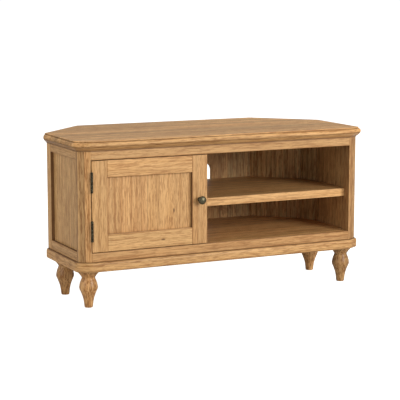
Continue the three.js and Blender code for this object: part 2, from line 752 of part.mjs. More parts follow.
function door_rail(low, high, groove_low, groove_high) {
  return block(door_inner_left, door_inner_right, 0, door_thickness, low, high)
    .add(block(door_inner_left - door_tongue_length, door_inner_right + door_tongue_length,
      door_panel_recess, door_panel_recess + door_panel_thickness, low, high))
    .subtract(block(-half_width, half_width, groove_front, groove_back, groove_low, groove_high));
}
piece('door_rail_bottom', door_rail(door_bottom, panel_window[0],
  panel_window[0] - door_groove_depth, panel_window[0] + overrun), oak(), door);
piece('door_rail_top', door_rail(panel_window[1], door_top,
  panel_window[1] - overrun, panel_window[1] + door_groove_depth), oak(), door);
piece('door_panel', block(
  door_inner_left - door_tongue_length, door_inner_right + door_tongue_length,
  door_panel_recess, door_panel_recess + door_panel_thickness,
  panel_window[0] - door_tongue_length, panel_window[1] + door_tongue_length), oak(), door);

// Knob: a base, a waist and a low domed head, bored for its screw.
const knob_profile = knob_radius_shares.map((share, i) =>
  point(share * knob_radius, knob_reach_shares[i] * knob_projection));
const knob_bore = screw_rod(knob_place.clone().setY(overrun), overrun + screw_reach + fit, screw_radius + fit);
const knob = turned(knob_profile, knob_place, towards_front, knob_segments).subtract(knob_bore);
piece('knob', knob, pewter(), door);

const screw_start = knob_place.clone().setY(door_thickness);
const knob_screw = screw_rod(screw_start, door_thickness + screw_reach, screw_radius)
  .add(screw_rod(screw_start, screw_head_height, screw_head_radius));
piece('knob_screw', knob_screw, zinc(), door);

// Magnetic catch on the divider, and the plate that meets it on the back of the door.
const catch_front = door_thickness + catch_plate_thickness + fit;
const catch_level = (loose_shelf_top + door_top) / 2;
piece('magnetic_catch', block(
  divider_left - catch_width, divider_left, catch_front, catch_front + catch_depth,
  catch_level - catch_height / 2, catch_level + catch_height / 2), white_plastic());
piece('strike_plate', block(
  divider_left - catch_plate_width, divider_left, door_thickness, door_thickness + catch_plate_thickness,
  catch_level - catch_plate_height / 2, catch_level + catch_plate_height / 2), zinc(), door);

// Turned feet: a slim toe, a vase-shaped belly, a waist and a flared collar under the plinth.
const collar_level = foot_height - foot_collar_height;
const foot_curve = new THREE.SplineCurve(foot_radius_shares.map((share, i) =>
  point(share * foot_belly_radius, foot_height_shares[i] * foot_height)));
const foot_profile = [
  point(0, 0),
  ...foot_curve.getPoints(foot_steps),
  point(foot_collar_radius, collar_level + foot_rim),
  point(foot_collar_radius, foot_height - foot_rim),
  point(foot_collar_radius - foot_rim, foot_height),
  point(0, foot_height),
];
for (const [hand, side] of hands) {
  for (const [which, depth] of [['front', foot_front_inset], ['rear', side_depth - rear_foot_inset]]) {
    const base = new THREE.Vector3(side * (half_width - foot_side_inset), depth, 0);
    piece(`foot_${which}_${hand}`, turned(foot_profile, base, up, foot_segments), oak());
  }
}

// The origin is on the floor under the middle of the whole cabinet, from knob to back.
cabinet.position.y = -(carcass_depth - knob_projection) / 2;

export default cabinet;
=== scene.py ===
"""Looks of a corner television cabinet in lacquered oak, built round its packed frame.

The frame gives every size and place in metres, with +Z up and +Y towards the corner of the room.
Boards are eased prisms on the sections of the frame's own pieces, mouldings are profiles carried
round the plan of the carcass, and feet, knob and hinge knuckles are turned profiles.
"""

import math
import zlib
from collections import namedtuple

import bmesh
import bpy
import numpy as np
from bpy.props import FloatProperty, FloatVectorProperty, IntProperty
from mathutils import Euler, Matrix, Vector


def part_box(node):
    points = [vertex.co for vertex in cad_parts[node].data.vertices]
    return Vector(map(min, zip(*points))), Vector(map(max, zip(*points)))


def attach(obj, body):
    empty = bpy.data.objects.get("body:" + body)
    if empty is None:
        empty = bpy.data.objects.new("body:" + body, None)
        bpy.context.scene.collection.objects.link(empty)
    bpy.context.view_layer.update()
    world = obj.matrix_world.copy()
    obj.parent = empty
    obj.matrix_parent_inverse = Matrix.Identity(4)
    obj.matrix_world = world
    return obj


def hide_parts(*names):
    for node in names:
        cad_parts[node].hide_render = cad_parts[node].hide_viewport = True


bl_info = {
    "name": "Corner television cabinet",
    "version": (1, 0, 0),
    "blender": (4, 5, 0),
    "location": "View3D > Sidebar > Cabinet",
    "description": "Builds the boards, mouldings, feet and metalwork of a corner television cabinet",
    "category": "Add Mesh",
}

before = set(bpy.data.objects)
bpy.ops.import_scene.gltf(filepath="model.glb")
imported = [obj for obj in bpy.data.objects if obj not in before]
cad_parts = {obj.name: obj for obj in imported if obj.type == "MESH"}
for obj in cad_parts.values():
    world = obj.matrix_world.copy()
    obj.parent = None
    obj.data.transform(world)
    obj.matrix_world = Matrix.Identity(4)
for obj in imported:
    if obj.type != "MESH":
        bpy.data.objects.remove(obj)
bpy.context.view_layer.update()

# Points nearer than MERGE are one, places that agree within SEAT are the same, and TINY is no length
MERGE, SEAT, TINY = 2e-6, 1e-4, 1e-12
# Corners that turn by more than BEND are rounded, and those whose squared sine is below STRAIGHT go on
BEND, STRAIGHT = 0.05, 1e-6
# A section keeps the points at which the sine of its turn is more than KINK
KINK = 0.01
# The least radius of a rounded corner and of a turned profile
LEAST_RADIUS, LEAST_TURNED = 5e-5, 1e-5
SHARP_ANGLE = math.radians(40)
# Limits of an eased edge and of the band beside it, as shares of a board's thickness or shortest edge
EASE_OF_THICKNESS, BAND_OF_THICKNESS = 0.2, 0.25
EASE_OF_EDGE, BAND_OF_EDGE, END_BAND_OF_EDGE = 1 / 3, 0.3, 0.15
# Faces round the corners of mouldings and round the ends of the cable slot
CORNER_STEPS, SLOT_STEPS = 8, 20
# Samples along the rounds of the top's nose and arris, the bed moulding's slope and the plinth's edges
NOSE_LOWER_STEPS, NOSE_UPPER_STEPS, ARRIS_STEPS, BED_STEPS, PLINTH_STEPS = 9, 12, 5, 12, 8
# Sides of the turned pieces, and samples along the curves of a foot and the knob
FOOT_SIDES, KNOB_SIDES, SCREW_SIDES, BARREL_SIDES, PIN_SIDES = 72, 64, 48, 32, 24
FOOT_SAMPLES, KNOB_SAMPLES = 72, 60
# Heights, as shares of a piece, at which its full section shows
POST_LEVEL, BACK_POST_LEVEL, STILE_LEVEL = 0.15, 0.3, 0.08
AXES = {"x": 0, "y": 1, "z": 2}
CYCLES = {"z": (0, 1, 2), "x": (1, 2, 0), "y": (2, 0, 1)}
X, Y, Z = np.eye(3)
DIAGONAL = {"left": np.array([1, 1, 0]) * math.sqrt(0.5), "right": np.array([-1, 1, 0]) * math.sqrt(0.5)}
ENDS = ("top", "bottom")
HINGES = ("lower", "upper")


def length(name, description, default):
    """A length in metres that a user can change."""
    return FloatProperty(name=name, description=description, default=default, unit="LENGTH", precision=4)


def colour(name, description, default):
    """A colour that a user can change."""
    return FloatVectorProperty(
        name=name, description=description, default=default, subtype="COLOR", size=3, min=0, max=1)


def rotation(name, description, default):
    """An angle that a user can change."""
    return FloatProperty(name=name, description=description, default=default, unit="ROTATION")


def power(name, description, default):
    """The power of a light in watts, which a user can change."""
    return FloatProperty(name=name, description=description, default=default, unit="POWER")


class CabinetSizes(bpy.types.PropertyGroup):
    """Sizes of eased edges and of the fine forms of mouldings."""

    board_ease: length("Board ease", "Radius of the softened edges of boards", 0.001)
    wear_band: length("Wear band", "Width beside an edge over which its wear fades", 0.0025)
    corner_steps: IntProperty(name="Corner steps", description="Faces round each eased edge", default=4)
    top_corner_radius: length("Top corner", "Radius in plan of the corners of the top's edge", 0.004)
    plinth_corner_radius: length("Plinth corner", "Radius in plan of the corners of the plinth", 0.012)
    bed_corner_radius: length("Bed moulding corner", "Radius in plan of the bed moulding's corners", 0.002)
    nose_reach: length("Nose reach", "From the widest point of the top's rounded nose to its centre", 0.008)
    nose_upper: length("Nose upper half", "Height of the nose above its widest point", 0.0086)
    nose_lower: length("Nose lower half", "Height of the nose below its widest point", 0.009)
    nose_lower_turn: rotation("Nose lower turn", "Angle of the nose below its middle", 0.5)
    nose_upper_turn: rotation("Nose upper turn", "Angle of the nose above its middle", 1.4)
    quirk_depth: length("Quirk depth", "How far the small step on top stands back from the nose", 0.0074)
    quirk_groove: length("Quirk groove", "Depth and height of the groove under the step", 0.0017)
    top_arris: length("Top arris", "Radius of the top's upper arris", 0.0008)
    bed_lip_drop: length("Bed lip", "Height of the narrow lip on the bed moulding", 0.0009)
    bed_foot_reach: length("Bed foot", "Reach of the bed moulding's lower fillet", 0.002)
    bed_foot_height: length("Bed fillet", "Height of the bed moulding's lower fillet", 0.0018)
    bed_bulge: length("Bed bulge", "How far the bed moulding's slope swells", 0.0006)
    bed_width: length("Bed width", "Width of the bed moulding's strips", 0.045)
    lipping: length("Lipping", "Width of the strip on the shelf's front edge", 0.009)
    plinth_width: length("Plinth width", "Width of the plinth's strips", 0.08)
    plinth_top_round: length("Plinth top round", "Radius of the plinth's upper edge", 0.007)
    plinth_bottom_round: length("Plinth bottom round", "Radius of the plinth's lower edge", 0.006)


class CabinetMetal(bpy.types.PropertyGroup):
    """Sizes of the hinges, knob and catch."""

    leaf_thickness: length("Leaf thickness", "Thickness of a hinge leaf", 0.0015)
    leaf_width: length("Leaf width", "Width of a hinge leaf's plate", 0.017)
    leaf_fit: length("Leaf fit", "Clearance round a hinge leaf in the wood", 0.0003)
    leaf_corner: length("Leaf corner", "Radius of a hinge leaf's corners", 0.0015)
    barrel_radius: length("Barrel radius", "Radius of the hinge's knuckles", 0.004)
    knuckle_gap: length("Knuckle gap", "Gap between two knuckles", 0.0003)
    knuckles: IntProperty(name="Knuckles", description="Knuckles on one hinge", default=5)
    pin_head_radius: length("Pin head", "Radius of the hinge pin's head", 0.0023)
    pin_radius: length("Pin radius", "Radius of the hinge pin", 0.0013)
    screw_head_radius: length("Screw head", "Radius of a small screw's head", 0.0028)
    screw_dome: length("Screw dome", "Height of a small screw's head", 0.0003)
    metal_ease: length("Metal ease", "Radius of the edges of metal plates", 0.0003)
    knob_screw_radius: length("Knob screw", "Radius of the screw that holds the knob", 0.002)
    knob_screw_head: length("Knob screw head", "Height of the knob screw's head", 0.0022)


class CabinetColours(bpy.types.PropertyGroup):
    """Colours of the woods, metals and stage."""

    honey: colour("Honey oak", "The even ground of the lacquered oak", (0.61, 0.336, 0.124))
    straw: colour("Straw oak", "The palest early growth", (0.73, 0.435, 0.185))
    umber: colour("Umber oak", "The darkest growth lines", (0.31, 0.135, 0.040))
    cool: colour("Cool oak", "The greyer, unstained boards", (0.55, 0.33, 0.130))
    grey: colour("Grey oak", "The bare boards of the inside and the back", (0.47, 0.335, 0.150))
    red: colour("Red oak", "The redder boards", (0.57, 0.288, 0.106))
    # The dark of pores, joints and knot eyes, also laid as painted shade in quirks, hollows and gaps, where
    # gaps hold dirt as well
    shade: colour("Joint dark and painted shade", "The dark of pores, joints and quirks", (0.10, 0.045, 0.016))
    pewter: colour("Pewter", "The ground of the antique metal", (0.024, 0.020, 0.0115))
    pewter_worn: colour("Worn pewter", "The antique metal where hands have rubbed it", (0.122, 0.108, 0.064))
    zinc: colour("Zinc", "The plated steel of screws and pins", (0.55, 0.54, 0.52))
    plastic: colour("Catch plastic", "The plastic of the catch", (0.80, 0.77, 0.70))
    floor: colour("Floor", "The pale floor of the stage", (0.62, 0.61, 0.60))


class CabinetStage(bpy.types.PropertyGroup):
    """The camera and lights of the stage."""

    camera_place: FloatVectorProperty(
        name="Camera place", description="Where the camera stands", size=3, unit="LENGTH",
        default=(-1.96651, -4.09768, 0.97393))
    camera_yaw: rotation("Camera yaw", "The camera's turn to the right", math.radians(25.79))
    camera_pitch: rotation("Camera pitch", "The camera's tilt down", math.radians(8.777))
    camera_lens: FloatProperty(name="Lens", description="Focal length", default=128.75, unit="CAMERA")
    floor_size: length("Floor size", "Side of the square floor", 24.0)
    key_power: power("Key power", "Power of the key light", 116.0)
    fill_power: power("Fill power", "Power of the fill light", 36.0)
    top_power: power("Top power", "Power of the overhead light", 20.0)
    world_light: FloatProperty(name="World light", description="Light of the white room", default=0.5)


def sizes():
    """The cabinet's sizes."""
    return bpy.context.scene.cabinet_sizes


def metal():
    """The sizes of the metalwork."""
    return bpy.context.scene.cabinet_metal


def colours():
    """The cabinet's colours."""
    return bpy.context.scene.cabinet_colours


def low_high(node):
    """The lowest and highest corner of one of the frame's pieces."""
    low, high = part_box(node)
    return np.array(low), np.array(high)


def round_of(node):
    """The lowest and highest corner, the centre and the radius of one of the frame's round pieces."""
    low, high = low_high(node)
    return low, high, (low + high) / 2, (high[0] - low[0]) / 2


# Outlines, rings and shells

Shell = namedtuple("Shell", "points wear grain", defaults=(None,))


def unit(vectors):
    """Vectors divided by their own lengths, and nought where there is no length."""
    return vectors / np.maximum(np.linalg.norm(vectors, axis=-1, keepdims=True), TINY)


def edge_ways(outline):
    """Directions and outward, right-hand normals of the edges that leave each corner, and their lengths."""
    steps = np.roll(outline, -1, 0) - outline
    ways = unit(steps)
    return ways, np.stack([ways[:, 1], -ways[:, 0]], 1), np.linalg.norm(steps, axis=1)


def ring_layout(outline, steps, band):
    """Where the samples of a ring lie beside each corner.

    A convex corner has a sample before its arc, steps + 1 samples round it and one after it, and any
    other corner has a single sample. The result holds each kept sample's corner, its share of the turn,
    its distance along the edge before (negative) or after the arc, and its wear.
    """
    _, normals, edges = edge_ways(outline)
    before = np.roll(normals, 1, 0)
    turn = np.arctan2(before[:, 0] * normals[:, 1] - before[:, 1] * normals[:, 0], (before * normals).sum(1))
    convex = turn > BEND
    share = np.concatenate([[0], np.linspace(0, 1, steps + 1), [1]])
    shift = np.concatenate([[-1], np.zeros(steps + 1), [1]])
    beside = np.where(shift < 0, np.roll(edges, 1)[:, None], edges[:, None])
    reach = np.minimum(band, beside * BAND_OF_EDGE)
    kept = np.where(convex[:, None], True, np.arange(steps + 3)[None, :] == 1)
    corner = np.broadcast_to(np.arange(len(outline))[:, None], kept.shape)[kept]
    wear = np.where(convex[:, None] & (shift == 0)[None, :], 1.0, 0.0)[kept]
    return corner, np.broadcast_to(share, kept.shape)[kept], (shift[None, :] * reach)[kept], wear, turn


def rings(outline, reaches, radii, steps, band, moved=None):
    """An outline moved outwards by each of several reaches, its convex corners turned on arcs.

    With n1 and n2 the outward normals of the edges beside a corner, c = n1.n2 and d1, d2 their reaches,
    the moved corner is the corner plus (d1 (n1 - c n2) + d2 (n2 - c n1)) / (1 - c c). The arc of radius
    R there is centred R (n1 + n2) / (1 + c) inside it, and its samples stand R from the centre along
    normals that turn evenly from n1 to n2. Returns points of the shape (reaches, samples, 2), and wear.
    """
    outline = np.asarray(outline, float)
    reaches = np.asarray(reaches, float)
    moved = np.ones(len(outline)) if moved is None else np.asarray(moved, float)
    corner, share, shift, wear, turn = ring_layout(outline, steps, band)
    ways, after, _ = edge_ways(outline)
    before = np.roll(after, 1, 0)
    cosine = (before * after).sum(1)
    far = reaches[:, None] * moved[None, :]
    near = reaches[:, None] * np.roll(moved, 1)[None, :]
    sharp = 1 - cosine ** 2 > STRAIGHT
    spread = np.where(sharp, 1 - cosine ** 2, 1.0)
    mitre = (near[..., None] * (before - cosine[:, None] * after)
             + far[..., None] * (after - cosine[:, None] * before)) / spread[:, None]
    straight = (near + far)[..., None] / 2 * after
    place = outline + np.where(sharp[:, None], mitre, straight)
    alike = np.roll(moved, 1) == moved
    radius = np.where(alike, radii + far, np.minimum(radii, sizes().board_ease))
    radius = np.maximum(radius, LEAST_RADIUS) * (turn > BEND)
    centre = place - radius[..., None] * (before + after) / (1 + cosine)[:, None]
    angle = (turn[corner] * share)[:, None]
    start = before[corner]
    swung = start * np.cos(angle) + np.stack([-start[:, 1], start[:, 0]], 1) * np.sin(angle)
    along = np.where((shift < 0)[:, None], np.roll(ways, 1, 0)[corner], ways[corner])
    points = centre[:, corner] + radius[:, corner, None] * swung + shift[:, None] * along
    return points, wear


def along_axis(flat, level, axis):
    """Points drawn across an axis, in cyclic order of the other two axes, and set at a level on it."""
    points = np.empty(flat.shape[:-1] + (3,))
    for place, values in zip(CYCLES[axis], (flat[..., 0], flat[..., 1], level)):
        points[..., place] = values
    return points


def eased_profile(low, high, ease, band, steps):
    """Reach and level up the side of a prism with quarter rounds of the ease's radius at both ends.

    At angle t from the end face the reach is -ease (1 - sin t), and the level ease (1 - cos t) inwards.
    """
    t = np.linspace(0, math.pi / 2, steps + 1)
    reach = np.concatenate([[-ease - band], -ease * (1 - np.sin(t)), [0]])
    rise = np.concatenate([[0], ease * (1 - np.cos(t)), [ease + band]])
    wear = np.concatenate([[0], np.ones(steps + 1), [0]])
    return (np.concatenate([reach, reach[::-1]]), np.concatenate([low + rise, (high - rise)[::-1]]),
            np.concatenate([wear, wear[::-1]]))


def eased_prism(outline, low, high, axis, ease=None, steps=None, radii=None):
    """A prism on an outline, every outer edge of which is rounded: rings of eased_profile, closed by caps.

    Where a piece is thin or its outline has a short edge, the rounding and its band are smaller.
    """
    ease = sizes().board_ease if ease is None else ease
    steps = sizes().corner_steps if steps is None else steps
    thin = min(high - low, np.ptp(outline, axis=0).min())
    shortest = edge_ways(outline)[2].min()
    band = min(sizes().wear_band, thin * BAND_OF_THICKNESS)
    ease = min(ease, thin * EASE_OF_THICKNESS, shortest * EASE_OF_EDGE)
    reach, level, end_wear = eased_profile(low, high, ease, min(band, shortest * END_BAND_OF_EDGE), steps)
    flat, side_wear = rings(outline, reach, ease if radii is None else radii, steps, band)
    wear = np.maximum(end_wear[:, None], side_wear)
    wear[[0, -1]] = 0
    return Shell(along_axis(flat, level[:, None], axis), wear)


def rectangle(low, high, axis):
    """The outline of a box seen along an axis."""
    u, v, _ = CYCLES[axis]
    return np.array([[low[u], low[v]], [high[u], low[v]], [high[u], high[v]], [low[u], high[v]]])


def block(low, high, ease=None):
    """A box between two corners with rounded edges."""
    return eased_prism(rectangle(low, high, "z"), low[2], high[2], "z", ease)


def turned(profile, start, axis, segments, sense=1):
    """A profile of radii and distances turned about a line: at angle a the radius lies on (cos a, sin a)."""
    radius, reach = np.asarray(profile, float).T
    angle = np.arange(segments) / segments * 2 * math.pi * sense
    circle = np.stack([np.cos(angle), np.sin(angle)], 1)
    flat = np.maximum(radius, LEAST_TURNED)[:, None, None] * circle
    points = along_axis(flat, (reach * sense)[:, None], axis) + np.asarray(start)
    return Shell(points, np.zeros(points.shape[:2]))


def smooth_profile(profile, samples):
    """Points on a smooth curve through a profile.

    Each stretch is a cubic, and its slope at a point is half the step between that point's neighbours.
    """
    profile = np.asarray(profile, float)
    padded = np.concatenate([2 * profile[:1] - profile[1:2], profile, 2 * profile[-1:] - profile[-2:-1]])
    place = np.linspace(0, len(profile) - 1, samples)
    i = np.minimum(place.astype(int), len(profile) - 2)
    t = (place - i)[:, None]
    a, b, c, d = (padded[i + k] for k in range(4))
    return (b + t * (c - a) / 2 + t ** 2 * (2 * a - 5 * b + 4 * c - d) / 2
            + t ** 3 * (3 * b - a - 3 * c + d) / 2)


def shell_faces(shell, first):
    """Quads between neighbouring rows and columns of a shell's grid, and its two end caps."""
    index = np.arange(shell.wear.size).reshape(shell.wear.shape) + first
    beside = np.roll(index, -1, 1)
    quads = np.stack([index[:-1], beside[:-1], beside[1:], index[1:]], -1).reshape(-1, 4).tolist()
    return quads + [index[0, ::-1].tolist(), index[-1].tolist()]


def places_of(mesh):
    """The places of a mesh's points."""
    return np.array([point.co for point in mesh.vertices])


def write_points(mesh, name, values):
    """Stores a number or a vector for each point of a mesh."""
    kind, field = ("FLOAT", "value") if values.ndim == 1 else ("FLOAT_VECTOR", "vector")
    mesh.attributes.new(name, kind, "POINT").data.foreach_set(field, values.astype(np.float32).ravel())


def piece_of(name, shells):
    """A mesh object made of closed shells, with the wear of its edges as an attribute."""
    counts = np.cumsum([0] + [s.wear.size for s in shells])
    mesh = bpy.data.meshes.new(name)
    faces = [f for s, first in zip(shells, counts) for f in shell_faces(s, first)]
    mesh.from_pydata(np.concatenate([s.points.reshape(-1, 3) for s in shells]).tolist(), [], faces)
    write_points(mesh, "wear", np.concatenate([s.wear.ravel() for s in shells]))
    if all(s.grain is not None for s in shells):
        write_points(mesh, "grain", np.concatenate([s.grain.reshape(-1, 3) for s in shells]))
    mesh.polygons.foreach_set("use_smooth", np.ones(len(mesh.polygons), bool))
    mesh.set_sharp_from_angle(angle=SHARP_ANGLE)
    mesh.update()
    piece = bpy.data.objects.new(name, mesh)
    bpy.context.scene.collection.objects.link(piece)
    return piece


def cut(piece, shells):
    """Takes closed shells out of a piece, and keeps the result as its mesh."""
    tool = piece_of("cutter", shells)
    trim = piece.modifiers.new("cut", "BOOLEAN")
    trim.operation = "DIFFERENCE"
    trim.solver = "EXACT"
    trim.object = tool
    view = bpy.context.evaluated_depsgraph_get()
    view.update()
    mesh = bpy.data.meshes.new_from_object(
        piece.evaluated_get(view), preserve_all_data_layers=True, depsgraph=view)
    piece.modifiers.clear()
    old, piece.data = piece.data, mesh
    bpy.data.meshes.remove(old)
    mesh.name = piece.name
    bpy.data.objects.remove(tool)


def section(node, axis, share):
    """Outline of the cut through one of the frame's pieces, across an axis and at a share of its length.

    The outline is anticlockwise seen from the axis's far end, with points only at its corners.
    """
    low, high = low_high(node)
    normal = (X, Y, Z)[AXES[axis]]
    place = low + (high - low) * share
    mesh = bmesh.new()
    mesh.from_mesh(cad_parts[node].data)
    bmesh.ops.remove_doubles(mesh, verts=mesh.verts, dist=MERGE)
    bmesh.ops.bisect_plane(
        mesh, geom=mesh.verts[:] + mesh.edges[:] + mesh.faces[:], plane_co=place, plane_no=normal,
        clear_inner=True, clear_outer=True)
    loops = []
    waiting = set(mesh.verts)
    while waiting:
        here = waiting.pop()
        loop = [here]
        while True:
            ahead = [e.other_vert(here) for e in here.link_edges if e.other_vert(here) in waiting]
            if not ahead:
                break
            here = ahead[0]
            waiting.discard(here)
            loop.append(here)
        loops.append(np.array([v.co for v in loop]))
    mesh.free()
    flat = max(loops, key=lambda loop: np.ptp(loop, axis=0).sum())
    u, v, _ = CYCLES[axis]
    flat = flat[:, [u, v]]
    ahead = np.roll(flat, -1, 0)
    if (flat[:, 0] * ahead[:, 1] - flat[:, 1] * ahead[:, 0]).sum() < 0:
        flat = flat[::-1]
    before = unit(flat - np.roll(flat, 1, 0))
    after = unit(np.roll(flat, -1, 0) - flat)
    bends = np.abs(before[:, 0] * after[:, 1] - before[:, 1] * after[:, 0]) > KINK
    return flat[bends]


def shoulders(node, axis, outline):
    """Where a board's full section ends along an axis: at the shoulders of its tenons, or at its ends."""
    places = places_of(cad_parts[node].data)[:, CYCLES[axis]]
    apart = np.linalg.norm(places[:, None, :2] - outline[None], axis=2).min(1)
    ends = places[apart < SEAT, 2]
    return ends.min(), ends.max()


# Node groups

class Bench:
    """Short-hand for adding and joining the nodes of one tree."""

    def __init__(self, tree):
        self.tree = tree

    def feed(self, socket, value):
        """Joins a socket to another, or sets its value."""
        if isinstance(value, bpy.types.NodeSocket):
            self.tree.links.new(value, socket)
        else:
            socket.default_value = value

    def feed_all(self, sockets, values):
        """Feeds sockets by name or number."""
        for key, value in values.items():
            self.feed(sockets[key], value)

    def add(self, kind, inputs=None, **settings):
        """Adds a node, sets its settings and feeds its inputs by name or number."""
        node = self.tree.nodes.new(kind)
        for key, value in settings.items():
            setattr(node, key, value)
        self.feed_all(node.inputs, inputs or {})
        return node

    def maths(self, operation, *values, clamp=False):
        """A Math node's result."""
        node = self.add("ShaderNodeMath", dict(enumerate(values)), operation=operation, use_clamp=clamp)
        return node.outputs[0]

    def times(self, first, second, clamp=False):
        """A product."""
        return self.maths("MULTIPLY", first, second, clamp=clamp)

    def plus(self, first, second):
        """A sum."""
        return self.maths("ADD", first, second)

    def minus(self, first, second):
        """A difference."""
        return self.maths("SUBTRACT", first, second)

    def vector(self, operation, *values):
        """A Vector Math node's result."""
        node = self.add("ShaderNodeVectorMath", dict(enumerate(values)), operation=operation)
        return node.outputs["Value" if operation == "LENGTH" else "Vector"]

    def attribute(self, name, output):
        """What a mesh stores under a name."""
        node = self.add("ShaderNodeAttribute", attribute_name=name, attribute_type="GEOMETRY")
        return node.outputs[output]

    def bump(self, shader, strength, distance, height):
        """Gives a shader the fine relief of a height."""
        node = self.add("ShaderNodeBump", {"Strength": strength, "Distance": distance, "Height": height})
        self.feed(shader.inputs["Normal"], node.outputs[0])

    def mix(self, share, first, second, blend="MIX"):
        """Two colours mixed by a share."""
        node = self.add(
            "ShaderNodeMix", {0: share, 6: first, 7: second}, data_type="RGBA", blend_type=blend)
        return node.outputs[2]

    def fade(self, value, name):
        """A value carried along one of the named fades."""
        return self.ramp(value, *FADES[name])

    def ramp(self, value, low, high, to_low=0.0, to_high=1.0, smooth=True):
        """A value carried from one range to another, smoothly and without leaving it."""
        node = self.add(
            "ShaderNodeMapRange", {0: value, 1: low, 2: high, 3: to_low, 4: to_high},
            interpolation_type="SMOOTHSTEP" if smooth else "LINEAR")
        return node.outputs[0]

    def noise(self, vector, stretch, detail=2.0, roughness=0.5, distortion=0.0):
        """Noise over a vector that is first multiplied by a stretch on each axis."""
        node = self.add("ShaderNodeTexNoise", {
            "Vector": self.vector("MULTIPLY", vector, stretch), "Scale": 1.0, "Detail": detail,
            "Roughness": roughness, "Distortion": distortion})
        return node.outputs[0]


def node_group(name, inputs, outputs):
    """An empty shader group with named sockets: its bench, what it is given and what it gives out."""
    tree = bpy.data.node_groups.new(name, "ShaderNodeTree")
    for direction, sockets in (("INPUT", inputs), ("OUTPUT", outputs)):
        for socket, kind in sockets.items():
            tree.interface.new_socket(name=socket, in_out=direction, socket_type="NodeSocket" + kind)
    bench = Bench(tree)
    return bench, bench.add("NodeGroupInput").outputs, bench.add("NodeGroupOutput").inputs


# Each noise of the oak: its stretch along, across and through the grain, detail, roughness, distortion
NOISES = {
    "wobble": ((3.2, 16.0, 16.0), 3.0, 0.55),
    "sway": ((1.1, 5.0, 5.0), 1.0),
    "streak": ((3.0, 95.0, 95.0), 4.0, 0.6, 0.25),
    "fleck": ((27.0, 290.0, 290.0), 2.0, 0.6, 0.15),
    "cloud": ((1.7, 26.0, 26.0), 2.0, 0.55),
    "pore": ((75.0, 2300.0, 2300.0), 1.0),
    "patch": ((30.0, 45.0, 45.0), 3.0),
}
# Where the chances of staves are read, and the metres by which they shift the figure along and across
STAVE_SEED, STAVE_SHIFT = (3.7, 1.3), (11.0, 0.7)
# Metres by which the pith lies deep, in cathedral and in plain boards, and aside
PITH_DEPTH, PLAIN_DEPTH, PITH_SPREAD = 0.012, 0.35, 0.075
# Metres by which rings sway and wobble, their taper for each metre of length, and the chance with none
SIDE_SWAY, DEPTH_WOBBLE, RING_WOBBLE, TAPER, TAPER_MIDDLE = 0.03, 0.012, 0.006, 0.06, 0.42
# A knot is drawn out along the grain
KNOT_SQUEEZE = (0.36, 1.0, 0.0)
# Each fade: the two values between which it goes, and what it gives there unless that is nought and one
FADES = {
    "early growth": (0.05, 0.85),
    "late growth": (0.86, 1.0, 1.0, 0.0),
    "pore": (0.56, 0.70),
    "swell": (0.002, 0.022, 0.009, 0.0),
    "eye": (0.0012, 0.0034, 1.0, 0.0),
    "joint": (0.0002, 0.0011, 1.0, 0.0),
    "streak": (0.36, 0.66),
    "broad": (0.52, 0.74),
    "fleck": (0.47, 0.60),
    "stain": (0.35, 0.9, 0.0, 0.75),
    "cloud": (0.35, 0.65, 0.5, -0.5),
    "patch": (0.35, 0.65, 0.4, 1.0),
    "gap near": (0.0008, 0.0018),
    "gap far": (0.009, 0.015, 1.0, 0.0),
    "rubbed": (0.42, 0.72),
    "speck": (0.55, 0.75, 0.0, 0.35),
}
# Pores are as many as this value exceeds the growth, so that they lie in the early half of a ring
PORE_START = 1.1
# What lines and flecks have without a streak, and what a streak adds to flecks
LINE_BASE, FLECK_BASE, FLECK_OF_STREAK = 0.25, 0.75, 0.4
# How far each mark takes the colour over to another one, the last being the painted shade of hollows
PALE_SHARE, LINE_SHARE, BROAD_SHARE, FLECK_SHARE = 0.7, 0.34, 0.22, 0.66
PORE_SHARE, JOINT_SHARE, EYE_SHARE, HOLLOW_SHADE_SHARE = 0.4, 0.5, 0.85, 0.8
# How much duller pores are, and places of painted shade and gap dirt, and the relief of growth against that
# of pores
PORE_ROUGHNESS, SHADE_AND_DIRT_ROUGHNESS, GROWTH_RELIEF = 0.18, 0.15, 0.15
LACQUER = {"Specular IOR Level": 0.3, "Coat Weight": 0.06, "Coat Roughness": 0.32}
MARKS = dict.fromkeys(
    ("Growth", "Streak", "Fleck", "Cloud", "Pores", "Stave", "Warmth", "Joint", "Eye"), "Float")


